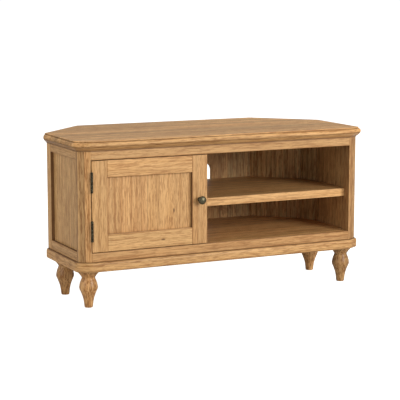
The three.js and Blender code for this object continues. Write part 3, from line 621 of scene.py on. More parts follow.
def make_oak_figure():
    """Growth of the oak in grain space: x runs along the grain, y across the board and z through it.

    Each stave takes a random pith. The distance from the pith, plus a slow taper along the grain and a
    wobble, divided by the ring width, gives the growth rings, whose pores lie in the early half. Beside a
    knot the rings swell outwards, and its eye is dark.
    """
    bench, values, out = node_group("Oak Figure", {
        "Grain": "Vector", "Stave Width": "Float", "Ring Width": "Float", "Cathedral": "Float",
        "Knot": "Vector"}, MARKS)
    maths, times, plus, minus = bench.maths, bench.times, bench.plus, bench.minus
    along, across, through = bench.add("ShaderNodeSeparateXYZ", {0: values["Grain"]}).outputs
    lane = maths("DIVIDE", across, values["Stave Width"])
    share = maths("FRACT", lane)
    key = bench.add("ShaderNodeCombineXYZ", {
        0: maths("FLOOR", lane), 1: STAVE_SEED[0], 2: STAVE_SEED[1]}).outputs[0]
    chance = bench.add("ShaderNodeTexWhiteNoise", {"Vector": key}, noise_dimensions="3D")
    chances = bench.add("ShaderNodeSeparateColor", {0: chance.outputs["Color"]}).outputs
    from_middle = times(minus(share, 0.5), values["Stave Width"])
    here = bench.add("ShaderNodeCombineXYZ", {
        0: plus(along, times(chances[0], STAVE_SHIFT[0])),
        1: plus(across, times(chances[2], STAVE_SHIFT[1])), 2: through}).outputs[0]
    wobble = minus(bench.noise(here, *NOISES["wobble"]), 0.5)
    sway = minus(bench.noise(here, *NOISES["sway"]), 0.5)
    pith_side = times(minus(chances[1], 0.5), PITH_SPREAD)
    pith_deep = plus(PITH_DEPTH, times(minus(1.0, values["Cathedral"]), PLAIN_DEPTH))
    away = bench.vector("SUBTRACT", values["Grain"], values["Knot"])
    off = bench.vector("LENGTH", bench.vector("MULTIPLY", away, KNOT_SQUEEZE))
    swell = bench.fade(off, "swell")
    aside = plus(minus(from_middle, pith_side), times(sway, SIDE_SWAY))
    deep = plus(plus(through, pith_deep), times(wobble, DEPTH_WOBBLE))
    distance = maths("SQRT", plus(times(aside, aside), times(deep, deep)))
    taper = times(along, times(minus(chances[2], TAPER_MIDDLE), TAPER))
    radius = plus(plus(distance, taper), plus(times(wobble, RING_WOBBLE), swell))
    phase = maths("FRACT", maths("DIVIDE", radius, values["Ring Width"]))
    growth = times(bench.fade(phase, "early growth"), bench.fade(phase, "late growth"))
    dash = bench.fade(bench.noise(here, *NOISES["pore"]), "pore")
    edge = times(maths("MINIMUM", share, minus(1.0, share)), values["Stave Width"])
    bench.feed_all(out, {
        "Growth": growth, "Streak": bench.noise(here, *NOISES["streak"]),
        "Fleck": bench.noise(here, *NOISES["fleck"]), "Cloud": bench.noise(here, *NOISES["cloud"]),
        "Pores": times(dash, minus(PORE_START, growth), clamp=True),
        "Stave": chances[0], "Warmth": chances[1],
        "Joint": bench.fade(edge, "joint"), "Eye": bench.fade(off, "eye")})
    return bench.tree


def make_oak_tint():
    """Colour of the oak: ground between pale and dark growth, shifted for each stave, with dark pores."""
    bench, values, out = node_group("Oak Tint", {
        **MARKS, "Ground": "Color", "Pale": "Color", "Dark": "Color", "Stained": "Color", "Shade": "Color",
        "Contrast": "Float", "Cloudiness": "Float", "Stave Spread": "Float", "Light": "Float"},
        {"Color": "Color"})
    times, plus, minus = bench.times, bench.plus, bench.minus
    streak = bench.fade(values["Streak"], "streak")
    ground = bench.mix(bench.fade(values["Warmth"], "stain"), values["Ground"], values["Stained"])
    pale = bench.mix(times(minus(1.0, streak), PALE_SHARE), ground, values["Pale"])
    darker = times(times(values["Growth"], plus(LINE_BASE, streak)), values["Contrast"])
    lined = bench.mix(times(darker, LINE_SHARE), pale, values["Dark"])
    broad = bench.mix(times(bench.fade(values["Streak"], "broad"), BROAD_SHARE), lined, values["Dark"])
    flecks = times(
        bench.fade(values["Fleck"], "fleck"), plus(FLECK_BASE, times(streak, FLECK_OF_STREAK)))
    flecked = bench.mix(times(flecks, times(values["Contrast"], FLECK_SHARE)), broad, values["Dark"])
    pored = bench.mix(times(values["Pores"], PORE_SHARE), flecked, values["Shade"])
    marks = bench.maths("MAXIMUM", times(values["Joint"], JOINT_SHARE), times(values["Eye"], EYE_SHARE))
    jointed = bench.mix(marks, pored, values["Shade"])
    drift = times(bench.fade(values["Cloud"], "cloud"), values["Cloudiness"])
    stave = times(minus(values["Stave"], 0.5), values["Stave Spread"])
    tone = plus(plus(values["Light"], drift), stave)
    grey = bench.add("ShaderNodeCombineColor", {0: tone, 1: tone, 2: tone}).outputs[0]
    bench.feed(out["Color"], bench.mix(1.0, jointed, grey, "MULTIPLY"))
    return bench.tree


def make_wear_and_painted_shade():
    """Wear of edges and dirt of hollows.

    Where the mask is above zero and a patchy noise agrees, the colour goes over to the worn one. Where it
    is below zero, and at the depths of a gap beside the outer face, it goes over to the dirt.
    """
    bench, values, out = node_group("Edge Wear", {
        "Color": "Color", "Worn Color": "Color", "Dirt Color": "Color", "Mask": "Float", "Place": "Vector",
        "Amount": "Float", "Gap": "Float", "Roughness": "Float"}, {"Color": "Color", "Roughness": "Float"})
    times = bench.times
    patch = bench.fade(bench.noise(values["Place"], *NOISES["patch"]), "patch")
    mask = times(times(values["Mask"], patch, clamp=True), values["Amount"])
    worn = bench.mix(mask, values["Color"], values["Worn Color"])
    through = bench.add("ShaderNodeSeparateXYZ", {0: values["Place"]}).outputs[2]
    band = times(bench.fade(through, "gap near"), bench.fade(through, "gap far"))
    # Where the mask is below zero the colour takes painted shade; at the depths of gaps it takes dirt and
    # painted shade
    hollow_shade = times(times(values["Mask"], -1.0, clamp=True), HOLLOW_SHADE_SHARE)
    painted_shade = bench.maths("MAXIMUM", hollow_shade, times(band, values["Gap"]))
    bench.feed_all(out, {
        "Color": bench.mix(painted_shade, worn, values["Dirt Color"]),
        "Roughness": bench.plus(values["Roughness"], times(painted_shade, SHADE_AND_DIRT_ROUGHNESS))})
    return bench.tree


def group_of(name):
    """A shared node group, built on first use."""
    makers = {"Oak Figure": make_oak_figure, "Oak Tint": make_oak_tint, "Edge Wear": make_wear_and_painted_shade}
    return bpy.data.node_groups.get(name) or makers[name]()


def use_group(bench, name, values):
    """A group placed in a material with its own values."""
    return bench.add("ShaderNodeGroup", values, node_tree=group_of(name))


# Finishes

# The gap column darkens the depths of gaps beside the outer face: dirt and painted shade together
Finish = namedtuple(
    "Finish", "stave ring cathedral contrast cloud spread light ground stained roughness edge worn gap",
    defaults=(1.0, 0.12, 0.16, 1.0, "honey", "red", 0.46, "straw", 0.30, 0.0))
FINISHES = {
    "oak_top": Finish(0.083, 0.0042, 0.35, 1.2, 0.34, 0.16, 0.98, "honey", "cool", 0.58),
    "oak_edge": Finish(0.30, 0.0035, 0.3, 1.1, 0.16, 0.10, 0.80, "honey", "red", 0.36),
    "oak_rail": Finish(0.30, 0.0046, 0.45, 0.9, 0.14, 0.10, 0.90, "honey", "red", 0.46, "umber", 0.75),
    "oak_post": Finish(0.018, 0.0034, 0.2, 1.5, 0.16, 0.40, 0.89, "honey", "red", 0.46, "straw", 0.7),
    "oak_side_rail": Finish(
        0.30, 0.0036, 0.25, 0.9, 0.14, 0.12, 0.88, "cool", "honey", 0.46, "umber", 0.6, 0.85),
    "oak_side_post": Finish(0.30, 0.0036, 0.25, 0.9, 0.14, 0.12, 1.0, "cool", "honey", 0.46, "umber", 0.6),
    # The right rear post's oak is darker than the left rear post's: painted shade for the face it shows
    # inside the bay
    "oak_rear_post": Finish(0.30, 0.0036, 0.25, 1.3, 0.16, 0.12, 0.80, "grey", "cool", 0.5, "umber", 0.6),
    "oak_side_panel": Finish(0.074, 0.0042, 0.35, 1.1, 0.14, 0.22, 1.02, "cool", "honey"),
    # A darker copy of the side panel's oak for the right panel: painted shade on the face it shows inside
    # the bay
    "oak_right_panel": Finish(0.074, 0.0042, 0.35, 1.2, 0.14, 0.22, 0.80, "cool", "honey"),
    "oak_door": Finish(0.30, 0.0038, 0.3, 0.85, 0.12, 0.10, 0.93, "honey", "red", 0.46, "umber", 0.75, 0.85),
    "oak_door_rail": Finish(
        0.30, 0.0062, 0.85, 0.9, 0.14, 0.08, 1.02, "honey", "cool", 0.46, "umber", 0.75, 0.85),
    "oak_door_panel": Finish(0.5, 0.0040, 0.45, 1.0, 0.14, 0.10, 0.97),
    "oak_plinth": Finish(0.30, 0.0045, 0.5, 1.2, 0.16, 0.10, 0.97, "honey", "cool"),
    "oak_foot": Finish(0.30, 0.0052, 0.6, 1.6, 0.2, 0.10, 1.02, "honey", "red", 0.36),
    # A darker copy of the feet's oak for the front right foot: painted shade
    "oak_right_foot": Finish(0.30, 0.0052, 0.6, 1.6, 0.2, 0.10, 0.70, "honey", "red", 0.36),
    "oak_inner": Finish(0.088, 0.0040, 0.3, 1.4, 0.3, 0.34, 1.12, "grey", "cool", 0.55, "umber", 0.6),
    "oak_shelf": Finish(0.095, 0.0044, 0.4, 1.1, 0.24, 0.14, 0.86, "honey", "honey"),
    "oak_floor": Finish(0.095, 0.0044, 0.4, 1.1, 0.24, 0.14, 1.04, "honey", "cool"),
    # A lighter oak for the shelf's front edge than for its top: painted light that makes the edge brighter
    # than the top
    "oak_lipping": Finish(0.30, 0.0044, 0.4, 0.9, 0.14, 0.10, 1.12, "honey", "red"),
}
# Metres across the grain at which three boards were cut, beside their seeded places
PANEL_SHIFT, POST_SHIFT, TOP_SHIFT = 0.3593, 0.055, 0.031
Knot = namedtuple("Knot", "node along along_share across across_share shift")
KNOTS = {
    "oak_door_panel": Knot("door_panel", "z", 0.342, "x", 0.778, PANEL_SHIFT),
    "oak_door_rail": Knot("door_rail_bottom", "x", 0.64, "z", 0.44, 0.0),
}
NO_KNOT = (-9.0, -9.0, 0.0)


def knot_place(name):
    """Where the knot of a finish lies in grain space, or a place that no board reaches."""
    if name not in KNOTS:
        return NO_KNOT
    knot = KNOTS[name]
    low, high = low_high(knot.node)
    i, j = AXES[knot.along], AXES[knot.across]
    start = board_offset(knot.node, FINISHES[name].stave)
    return (start[0] + low[i] + (high[i] - low[i]) * knot.along_share,
            start[1] + (high[j] - low[j]) * knot.across_share + knot.shift, 0.0)


def oak_material(name):
    """Lacquered oak with one of the named finishes, read from the grain and wear attributes."""
    found = bpy.data.materials.get(name)
    if found:
        return found
    finish = FINISHES[name]
    tints = {key: opaque(getattr(colours(), key)) for key in (
        "straw", "umber", "shade", finish.ground, finish.stained, finish.edge)}
    material, bench, shader = blank_material(name)
    grain = bench.attribute("grain", "Vector")
    wear = bench.attribute("wear", "Fac")
    figure = use_group(bench, "Oak Figure", {
        "Grain": grain, "Stave Width": finish.stave, "Ring Width": finish.ring,
        "Cathedral": finish.cathedral, "Knot": knot_place(name)}).outputs
    tint = use_group(bench, "Oak Tint", {
        **{socket.name: socket for socket in figure},
        "Ground": tints[finish.ground], "Pale": tints["straw"], "Dark": tints["umber"],
        "Stained": tints[finish.stained], "Shade": tints["shade"], "Contrast": finish.contrast,
        "Cloudiness": finish.cloud, "Stave Spread": finish.spread, "Light": finish.light})
    rough = bench.plus(finish.roughness, bench.times(figure["Pores"], PORE_ROUGHNESS))
    worn = use_group(bench, "Edge Wear", {
        "Color": tint.outputs["Color"], "Worn Color": tints[finish.edge], "Dirt Color": tints["shade"],
        "Mask": wear, "Place": grain, "Amount": finish.worn, "Gap": finish.gap, "Roughness": rough})
    bench.feed_all(shader.inputs, {
        "Base Color": worn.outputs["Color"], "Roughness": worn.outputs["Roughness"], **LACQUER})
    height = bench.minus(bench.times(figure["Growth"], GROWTH_RELIEF), figure["Pores"])
    bench.bump(shader, strength=0.35, distance=0.0002, height=height)
    return material


def opaque(rgb, share=1.0):
    """A colour, or a share of its brightness, with full alpha."""
    return (*(c * share for c in rgb), 1.0)


def blank_material(name):
    """A material with its bench and its Principled BSDF."""
    material = bpy.data.materials.new(name)
    material.use_nodes = True
    shader = material.node_tree.nodes["Principled BSDF"]
    return material, Bench(material.node_tree), shader


# How much finer specks are than the mottle, how much wear rubs, and how specks spread the roughness
SPECKS_PER_MOTTLE, RUB_OF_WEAR, SPECK_GLOSS, SPECK_DULL = 6, 0.25, 0.07, 0.1


def metal_material(name, ground, worn, roughness, scale):
    """Metal whose ground is mottled by noise and rubbed bright on its proudest places."""
    found = bpy.data.materials.get(name)
    if found:
        return found
    material, bench, shader = blank_material(name)
    place = bench.add("ShaderNodeTexCoord").outputs["Object"]
    mottle = bench.noise(place, (scale,) * 3, detail=5.0, roughness=0.6)
    speck = bench.noise(place, (scale * SPECKS_PER_MOTTLE,) * 3, detail=3.0, roughness=0.6)
    wear = bench.attribute("wear", "Fac")
    rubbed = bench.fade(bench.plus(mottle, bench.times(wear, RUB_OF_WEAR)), "rubbed")
    toned = bench.mix(rubbed, opaque(ground), opaque(worn))
    bench.feed_all(shader.inputs, {
        "Base Color": bench.mix(bench.fade(speck, "speck"), toned, opaque(ground, 0.5)),
        "Roughness": bench.ramp(speck, 0.3, 0.7, roughness - SPECK_GLOSS, roughness + SPECK_DULL),
        "Metallic": 0.85})
    bench.bump(shader, strength=0.25, distance=0.0001, height=mottle)
    return material


def antique_metal():
    """Dark pewter with a grey-green bloom."""
    return metal_material(
        "aged_pewter", colours().pewter, colours().pewter_worn, roughness=0.38, scale=260.0)


def plated_steel():
    """Plated steel of pins, screws and plates."""
    zinc = colours().zinc
    bright = tuple(min(1, c * 1.3) for c in zinc)
    return metal_material("plated_steel", zinc, bright, roughness=0.3, scale=420.0)


def moulded_plastic():
    """Plastic of the catch, with a fine moulded texture."""
    name = "moulded_plastic"
    found = bpy.data.materials.get(name)
    if found:
        return found
    material, bench, shader = blank_material(name)
    place = bench.add("ShaderNodeTexCoord").outputs["Object"]
    speck = bench.noise(place, (900.0,) * 3, detail=3.0)
    cloud = bench.noise(place, (60.0,) * 3, detail=2.0)
    plastic = colours().plastic
    bench.feed_all(shader.inputs, {
        "Base Color": bench.mix(cloud, opaque(plastic), opaque(plastic, 0.9)),
        "Roughness": bench.ramp(speck, 0.3, 0.7, 0.45, 0.58)})
    bench.bump(shader, strength=0.2, distance=0.00008, height=speck)
    return material


MADE_OF = {"antique_metal": antique_metal, "steel": plated_steel, "catch_plastic": moulded_plastic}


# Laying the grain and joining pieces to the frame

def board_offset(name, stave):
    """Where a board was cut from the tree: a seeded shift along the grain, and by whole staves across it."""
    chance = np.random.default_rng(zlib.crc32(name.encode()))
    return np.array([chance.uniform(1, 9), stave * chance.integers(2, 60), 0.0])


def lay_grain(piece, finish, along, across, key, stave_shift=0.0):
    """Writes each point's place in grain space: along the grain, across the board and through it.

    Across counts from the board's own edge, and through from its outermost face inwards.
    """
    grain = places_of(piece.data) @ np.stack([along, across, np.cross(along, across)]).T
    grain[:, 1:] -= grain[:, 1:].min(0)
    grain += board_offset(key, FINISHES[finish].stave) + (0, stave_shift, 0)
    write_points(piece.data, "grain", grain)


def settle(piece, material, body, nodes):
    """Gives a piece its material, its slot, the body it rides on and the frame's pieces it stands for."""
    piece.data.materials.clear()
    piece.data.materials.append(material)
    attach(piece, body)
    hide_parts(*nodes)
    return piece


def settle_wood(piece, finish, body, node):
    """Settles a piece of wood by its finish: the bare one of the inside has a slot of its own."""
    return settle(piece, oak_material(finish), body, [node])


def metal_piece(node, shells, slot, body):
    """A piece of metal or plastic that stands for one of the frame's pieces."""
    return settle(piece_of(node + "_finished", shells), MADE_OF[slot](), body, [node])


Board = namedtuple("Board", "node axis share finish along across body shift", defaults=("carcass", 0.0))


def dress_board(board, cutters=(), lipping=0.0):
    """One board: an eased prism on its own section, cut where metal is let in, with its grain laid.

    A lipping is left off its front edge.
    """
    outline = section(board.node, board.axis, board.share)
    low, high = shoulders(board.node, board.axis, outline)
    outline[outline[:, 1] < outline[:, 1].min() + SEAT, 1] += lipping
    piece = piece_of(board.node + "_finished", [eased_prism(outline, low, high, board.axis)])
    if cutters:
        cut(piece, list(cutters))
    lay_grain(piece, board.finish, board.along, board.across, board.node, board.shift)
    return settle_wood(piece, board.finish, board.body, board.node)


def paint_shade_on_points(piece, choose, amount):
    """Gives the points of a piece that a rule on their places chooses an amount of dirt."""
    wear = piece.data.attributes["wear"].data
    for point in np.flatnonzero(choose(places_of(piece.data))):
        wear[point].value = -amount


def hinge_pocket(which, side, face):
    """The recess for a hinge leaf: as high and wide as the leaf, as deep as it is thick, open in front."""
    m = metal()
    low, high = low_high(f"hinge_{which}_{side}_leaf")
    into = -1 if side == "frame" else 1
    deep = face + into * (m.leaf_thickness + m.leaf_fit)
    open_side = face - into * m.barrel_radius
    return block(
        (min(deep, open_side), low[1] - m.barrel_radius, low[2] - m.leaf_fit),
        (max(deep, open_side), high[1] + m.leaf_fit, high[2] + m.leaf_fit), POCKET_EASE)


def hinge_faces():
    """Where the left post's inner face and the door's hinged edge stand."""
    return (section("front_post_left", "z", POST_LEVEL)[:, 0].max(),
            section("door_stile_hinge", "z", STILE_LEVEL)[:, 0].min())


# Moulded pieces

def carcass_plan():
    """The eight corners of the carcass in plan, front edge first and anticlockwise from above."""
    post = section("front_post_right", "z", POST_LEVEL)
    rear = section("rear_post_right", "z", POST_LEVEL)
    back = section("back_post_right", "z", BACK_POST_LEVEL)
    wide, front, deep = post[:, 0].max(), post[:, 1].min(), back[:, 1].max()
    cant_front = post[post[:, 1] < front + MERGE][:, 0].max()
    cant_side = post[post[:, 0] > wide - MERGE][:, 1].min()
    side_end = rear[np.abs(rear[:, 0] - wide) < SEAT][:, 1].max()
    back_end = back[back[:, 1] > deep - SEAT][:, 0].max()
    right = np.array([[cant_front, front], [wide, cant_side], [wide, side_end], [back_end, deep]])
    left = right[::-1] * (-1, 1)
    return np.concatenate([left[-1:], right, left[:-1]])


def overhang(node):
    """How far one of the frame's pieces stands out past the plan on the right."""
    return low_high(node)[1][0] - carcass_plan()[:, 0].max()


# Mouldings stand out from the front, the cants and the sides, and not behind
MOULDED_EDGES = np.array([1, 1, 1, 0, 0, 0, 1, 1.0])
# Painted shade over the right post's canted face, which the photograph shows darker
CANT_SHADE = 0.26
POCKET_EASE = 0.00005
# The slot's ends stay just short of full half circles, and its faces flare by more than a board's ease
ALMOST, FLARE_OF_EASE = 0.998, 1.5
# Levels of the groove as shares of its height, painted shade under the nose from below, and wear of the
# arris
GROOVE_SHARES, NOSE_PAINTED_SHADE, ARRIS_WEAR = (0.15, 0.85), (-0.7, -0.1), 0.2
# How much of its height the bed moulding's fillet is rounded in
FILLET_ROUND_SHARE = 0.15


def build_top_board():
    """The top board: a round nose under a small quirk, carried round the plan and kept square behind."""
    s = sizes()
    low, high = low_high("top_board")
    out = overhang("top_board")
    lower = np.linspace(-s.nose_lower_turn, 0, NOSE_LOWER_STEPS)
    upper = np.linspace(0, s.nose_upper_turn, NOSE_UPPER_STEPS)[1:]
    angle = np.concatenate([lower, upper])
    tall = np.where(angle < 0, s.nose_lower, s.nose_upper)
    nose = out - s.nose_reach * (1 - np.cos(angle))
    nose_level = low[2] + s.nose_lower * math.sin(s.nose_lower_turn) + tall * np.sin(angle)
    step = out - s.quirk_depth
    groove = nose_level[-1] + s.quirk_groove * np.array(GROOVE_SHARES)
    t = np.linspace(0, math.pi / 2, ARRIS_STEPS)
    reach = np.concatenate([
        [nose[0] - s.wear_band], nose, np.full(2, step - s.quirk_groove), [step],
        step - s.top_arris * (1 - np.cos(t)), [step - s.top_arris - s.wear_band]])
    level = np.concatenate([
        [low[2]], nose_level, groove, [groove[-1] + s.top_arris / 4],
        high[2] - s.top_arris * (1 - np.sin(t)), [high[2]]])
    # Painted shade under the nose and in the quirk's groove, and wear on the arris
    wear = np.concatenate([
        np.linspace(*NOSE_PAINTED_SHADE, len(lower) + 1), np.zeros(len(upper)), [-1, -1, 0],
        np.full(len(t), ARRIS_WEAR), [0]])
    flat, _ = rings(carcass_plan(), reach, s.top_corner_radius, CORNER_STEPS, s.wear_band, MOULDED_EDGES)
    points = along_axis(flat, level[:, None], "z")
    shape = Shell(points, np.broadcast_to(wear[:, None], points.shape[:2]))
    piece = piece_of("top_board_finished", [shape])
    lay_grain(piece, "oak_top", X, Y, "top_board", TOP_SHIFT)
    settle_wood(piece, "oak_top", "carcass", "top_board")


def strip(name, plan_edges, shape, radius, width, finish, tail=None, tail_first=False):
    """A moulded strip between two mitres: a profile and its dirt carried along part of the plan.

    The back's points are the outer points dropped onto the line between the two mitres' inner ends. The
    grain's first axis is the length walked along the strip. A tail, an outer and an inner point in plan,
    takes the strip on round its rear corner, at its first end or at its last.
    """
    band = sizes().wear_band
    plan = carcass_plan()
    profile, painted_shade = shape
    reach, level = profile.T
    flat, _ = rings(plan, reach, radius, CORNER_STEPS, band, MOULDED_EDGES)
    corner, _, shift, _, _ = ring_layout(plan, CORNER_STEPS, band)
    middle = [np.flatnonzero((corner == c) & (shift == 0))[CORNER_STEPS // 2] for c in plan_edges]
    count = flat.shape[1]
    beyond = 0 if tail is None else CORNER_STEPS // 2 + 1
    start = middle[0] - (beyond if tail_first else 0)
    stop = middle[1] + (count if middle[1] <= middle[0] else 0) + 1 + (0 if tail_first else beyond)
    outer = flat[:, np.arange(start, stop) % count]
    ends = rings(plan, [-width], 0.0, CORNER_STEPS, band)[0][0, middle]
    line_start, line_end = ends.copy()
    first, last = plan[list(plan_edges), 1]
    if abs(first - last) < MERGE and first < plan[:, 1].mean():
        line_start[1] = line_end[1] = plan[:, 1].min() + width
    way = line_end - line_start
    t = np.clip(((outer[0] - line_start) @ way) / (way @ way), 0, 1)
    t = t * (1 - 2 * SEAT) + np.linspace(0, 2 * SEAT, len(t))
    back = line_start + t[:, None] * way
    if tail is None or not tail_first:
        back[0] = ends[0]
    if tail is None or tail_first:
        back[-1] = ends[1]
    if tail is not None:
        order = slice(None, None, 1 if tail_first else -1)
        far_end = np.broadcast_to(tail[0], (len(reach), 1, 2))
        outer = np.concatenate([far_end, outer][order], 1)
        back = np.concatenate([tail[1:], back][order])
    loop = np.concatenate([
        along_axis(outer, level[:, None], "z"),
        along_axis(back, level[-1], "z")[None], along_axis(back, level[0], "z")[None]])
    steps = np.linalg.norm(np.diff(outer[len(reach) // 2], axis=0), axis=1)
    depth = np.concatenate([reach.max() - reach, [width, width]])
    grain = np.stack([
        np.broadcast_to(np.concatenate([[0], np.cumsum(steps)]), loop.shape[:2]),
        loop[..., 2] - level.min(),
        np.broadcast_to(depth[:, None], loop.shape[:2])], -1) + board_offset(name, FINISHES[finish].stave)
    points = np.swapaxes(loop, 0, 1)
    wear = np.broadcast_to(np.concatenate([painted_shade, [0, 0]]), points.shape[:2])
    piece = piece_of(name + "_finished", [Shell(points, wear, np.swapaxes(grain, 0, 1))])
    settle_wood(piece, finish, "carcass", name)


def bed_profile():
    """The bed moulding's profile and its dirt: a small fillet, a slightly swelling slope and a narrow lip.

    Along the slope at share u the reach gains, and the level loses, the bulge times sin(pi u).
    """
    s = sizes()
    low, high = low_high("top_moulding_front")
    lip = overhang("top_moulding_front")
    u = np.linspace(0, 1, BED_STEPS)
    swell = s.bed_bulge * np.sin(math.pi * u)
    reach = s.bed_foot_reach + (lip - s.bed_foot_reach) * u + swell
    foot = low[2] + s.bed_foot_height
    level = foot + (high[2] - foot - s.bed_lip_drop) * u - swell
    round_in = s.bed_foot_height * FILLET_ROUND_SHARE
    fillet = np.array([
        [s.bed_foot_reach - round_in, low[2]], [s.bed_foot_reach, low[2] + round_in],
        [s.bed_foot_reach, foot - round_in]])
    profile = np.concatenate([fillet, np.stack([reach, level], 1), [[lip - s.bed_lip_drop, high[2]]]])
    # Painted shade along the fillet and lower slope, where the moulding meets the carcass, and at the lip
    # under the top
    painted_shade = np.concatenate([[-1, -1, -0.8], np.linspace(-0.5, 0, 4), np.zeros(len(u) - 5), [-0.3, -1]])
    return profile, painted_shade


def plinth_profile():
    """The plinth's profile and its dirt: quarter rounds under and over a flat face."""
    s = sizes()
    low, high = low_high("plinth_front")
    out = overhang("plinth_front")
    t = np.linspace(0, math.pi / 2, PLINTH_STEPS)
    reach = np.concatenate([
        out - s.plinth_bottom_round * (1 - np.sin(t)), out - s.plinth_top_round * (1 - np.cos(t))])
    level = np.concatenate([
        low[2] + s.plinth_bottom_round * (1 - np.cos(t)), high[2] - s.plinth_top_round * (1 - np.sin(t))])
    # Painted shade at the floor and where the carcass sits on the plinth's top
    painted_shade = np.concatenate([[-0.5, -0.2], np.zeros(len(t) * 2 - 6), [-0.2, -0.7, -1, -1]])
    return np.stack([reach, level], 1), painted_shade


def side_tail(mirror):
    """Outer and inner end of a side strip of the bed moulding, where the rear post's slanting face ends.

    The inner end lies on the line that runs beside the outer face at the strip's width. Mirror is 1 on
    the right and -1 on the left.
    """
    post = section("rear_post_right", "z", POST_LEVEL)
    wide, deep = carcass_plan()[3]
    slanting = post[np.abs(post.sum(1) - wide - deep) < SEAT]
    outer = slanting[slanting[:, 1].argmax()]
    reach = sizes().bed_width - (wide - outer[0])
    return np.array([outer, outer - reach]) * (mirror, 1)


def build_bed_moulding():
    """The three strips of the bed moulding under the top."""
    s = sizes()
    shape = bed_profile()
    for place, ends, tail in (
            ("front", (7, 2), None), ("right", (2, 3), side_tail(1)), ("left", (6, 7), side_tail(-1))):
        strip(f"top_moulding_{place}", ends, shape, s.bed_corner_radius, s.bed_width, "oak_edge", tail,
              place == "left")


def build_plinth():
    """The six strips of the plinth, mitred at every corner."""
    s = sizes()
    shape = plinth_profile()
    for place, ends, finish in (
            ("front", (7, 2), "oak_plinth"), ("right", (2, 3), "oak_plinth"),
            ("corner_right", (3, 4), "oak_inner"), ("back", (4, 5), "oak_inner"),
            ("corner_left", (5, 6), "oak_inner"), ("left", (6, 7), "oak_plinth")):
        strip(f"plinth_{place}", ends, shape, s.plinth_corner_radius, s.plinth_width, finish)


# Boards of the carcass and of the door

def build_front_frame():
    """The canted front posts, let in for the hinges on the left, and the two front rails."""
    inner_face, _ = hinge_faces()
    pockets = [hinge_pocket(which, "frame", inner_face) for which in HINGES]
    dress_board(Board("front_post_left", "z", POST_LEVEL, "oak_post", Z, X, shift=POST_SHIFT), pockets)
    post = dress_board(Board("front_post_right", "z", POST_LEVEL, "oak_post", Z, X))
    plan = carcass_plan()
    # Painted shade over the right post's canted face
    paint_shade_on_points(
        post, lambda p: (p[:, 0] > plan[1, 0] - SEAT) & (p[:, 1] < plan[2, 1] + SEAT), CANT_SHADE)
    for which in ENDS:
        dress_board(Board(f"front_rail_{which}", "x", 0.5, "oak_rail", X, Z))


def build_side_frames():
    """On each side the rebated rails, the panel set back between them and the bent rear post."""
    # On the right the rear post and the panel take darker oak, painted shade for the faces seen inside the
    # bay
    for hand, sense, finish, panel in (
            ("left", 1, "oak_side_post", "oak_side_panel"),
            ("right", -1, "oak_rear_post", "oak_right_panel")):
        for which in ENDS:
            dress_board(Board(f"side_rail_{which}_{hand}", "y", 0.5, "oak_side_rail", Y * sense, Z))
        dress_board(Board(f"side_panel_{hand}", "z", 0.5, panel, Z, Y))
        node = f"rear_post_{hand}"
        post = dress_board(Board(node, "z", POST_LEVEL, finish, Z, Y))
        recess = section(node, "z", POST_LEVEL)
        recess = recess[np.abs(recess[:, 0]) > np.abs(recess[:, 0]).max() - SEAT, 1].min()
        # Painted shade over the rear post's step face beside the set-back panel
        paint_shade_on_points(post, lambda p, level=recess: np.abs(p[:, 1] - level) < SEAT, 1.0)


def slot_cutter():
    """The cable slot's shape: its outline carried through the back panel and flared at both faces."""
    low, high = low_high("back_panel")
    places = places_of(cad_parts["back_panel"].data)
    inside = places[(places[:, 2] > low[2] + MERGE) & (places[:, 2] < high[2] - MERGE)]
    hole_low, hole_high = inside.min(0), inside.max(0)
    radius = (hole_high[0] - hole_low[0]) / 2
    flare = sizes().board_ease * FLARE_OF_EASE
    t = np.linspace(0, math.pi / 2, 6)
    swell = flare * (1 - np.cos(t))
    reach = np.concatenate([[flare], swell[::-1], swell, [flare]])
    level = np.concatenate([
        [low[1] - flare], low[1] + flare * (1 - np.sin(t))[::-1], high[1] - flare * (1 - np.sin(t)),
        [high[1] + flare]])
    flat, _ = rings(rectangle(hole_low, hole_high, "y"), reach, radius * ALMOST, SLOT_STEPS, 0.0)
    return Shell(along_axis(flat, level[:, None], "y"), np.zeros(flat.shape[:2]))


def build_rear_frames():
    """Behind: posts, rails and panels of the back and of both slanting corners."""
    for hand, way in DIAGONAL.items():
        dress_board(Board(f"back_post_{hand}", "z", BACK_POST_LEVEL, "oak_inner", Z, X))
        dress_board(Board(f"corner_panel_{hand}", "z", 0.5, "oak_inner", Z, way))
        for which in ENDS:
            dress_board(Board(f"corner_rail_{which}_{hand}", "z", 0.5, "oak_inner", way, Z))
    for which in ENDS:
        dress_board(Board(f"back_rail_{which}", "x", 0.5, "oak_inner", X, Z))
    dress_board(Board("back_panel", "z", 0.1, "oak_inner", Z, X), [slot_cutter()])


def build_shelves():
    """The floor board, the divider, the bay's shelf and the cupboard's loose shelf."""
    dress_board(Board("floor_board", "z", 0.5, "oak_floor", X, Y))
    width = sizes().lipping
    dress_board(Board("bay_shelf", "z", 0.5, "oak_shelf", X, Y), lipping=width)
    front = section("bay_shelf", "z", 0.5)
    front = front[front[:, 1] < front[:, 1].min() + SEAT]
    low, high = low_high("bay_shelf")
    edge = block((front[:, 0].min(), low[1], low[2]), (front[:, 0].max(), low[1] + width, high[2]))
    # The lipping's lighter oak is painted light on the shelf's front edge
    piece = piece_of("bay_shelf_lipping", [edge])
    lay_grain(piece, "oak_lipping", X, Z, "bay_shelf_lipping")
    settle_wood(piece, "oak_lipping", "carcass", "bay_shelf")
    dress_board(Board("divider", "x", 0.5, "oak_shelf", Z, Y))
    dress_board(Board("cupboard_shelf", "z", 0.5, "oak_inner", X, Y))


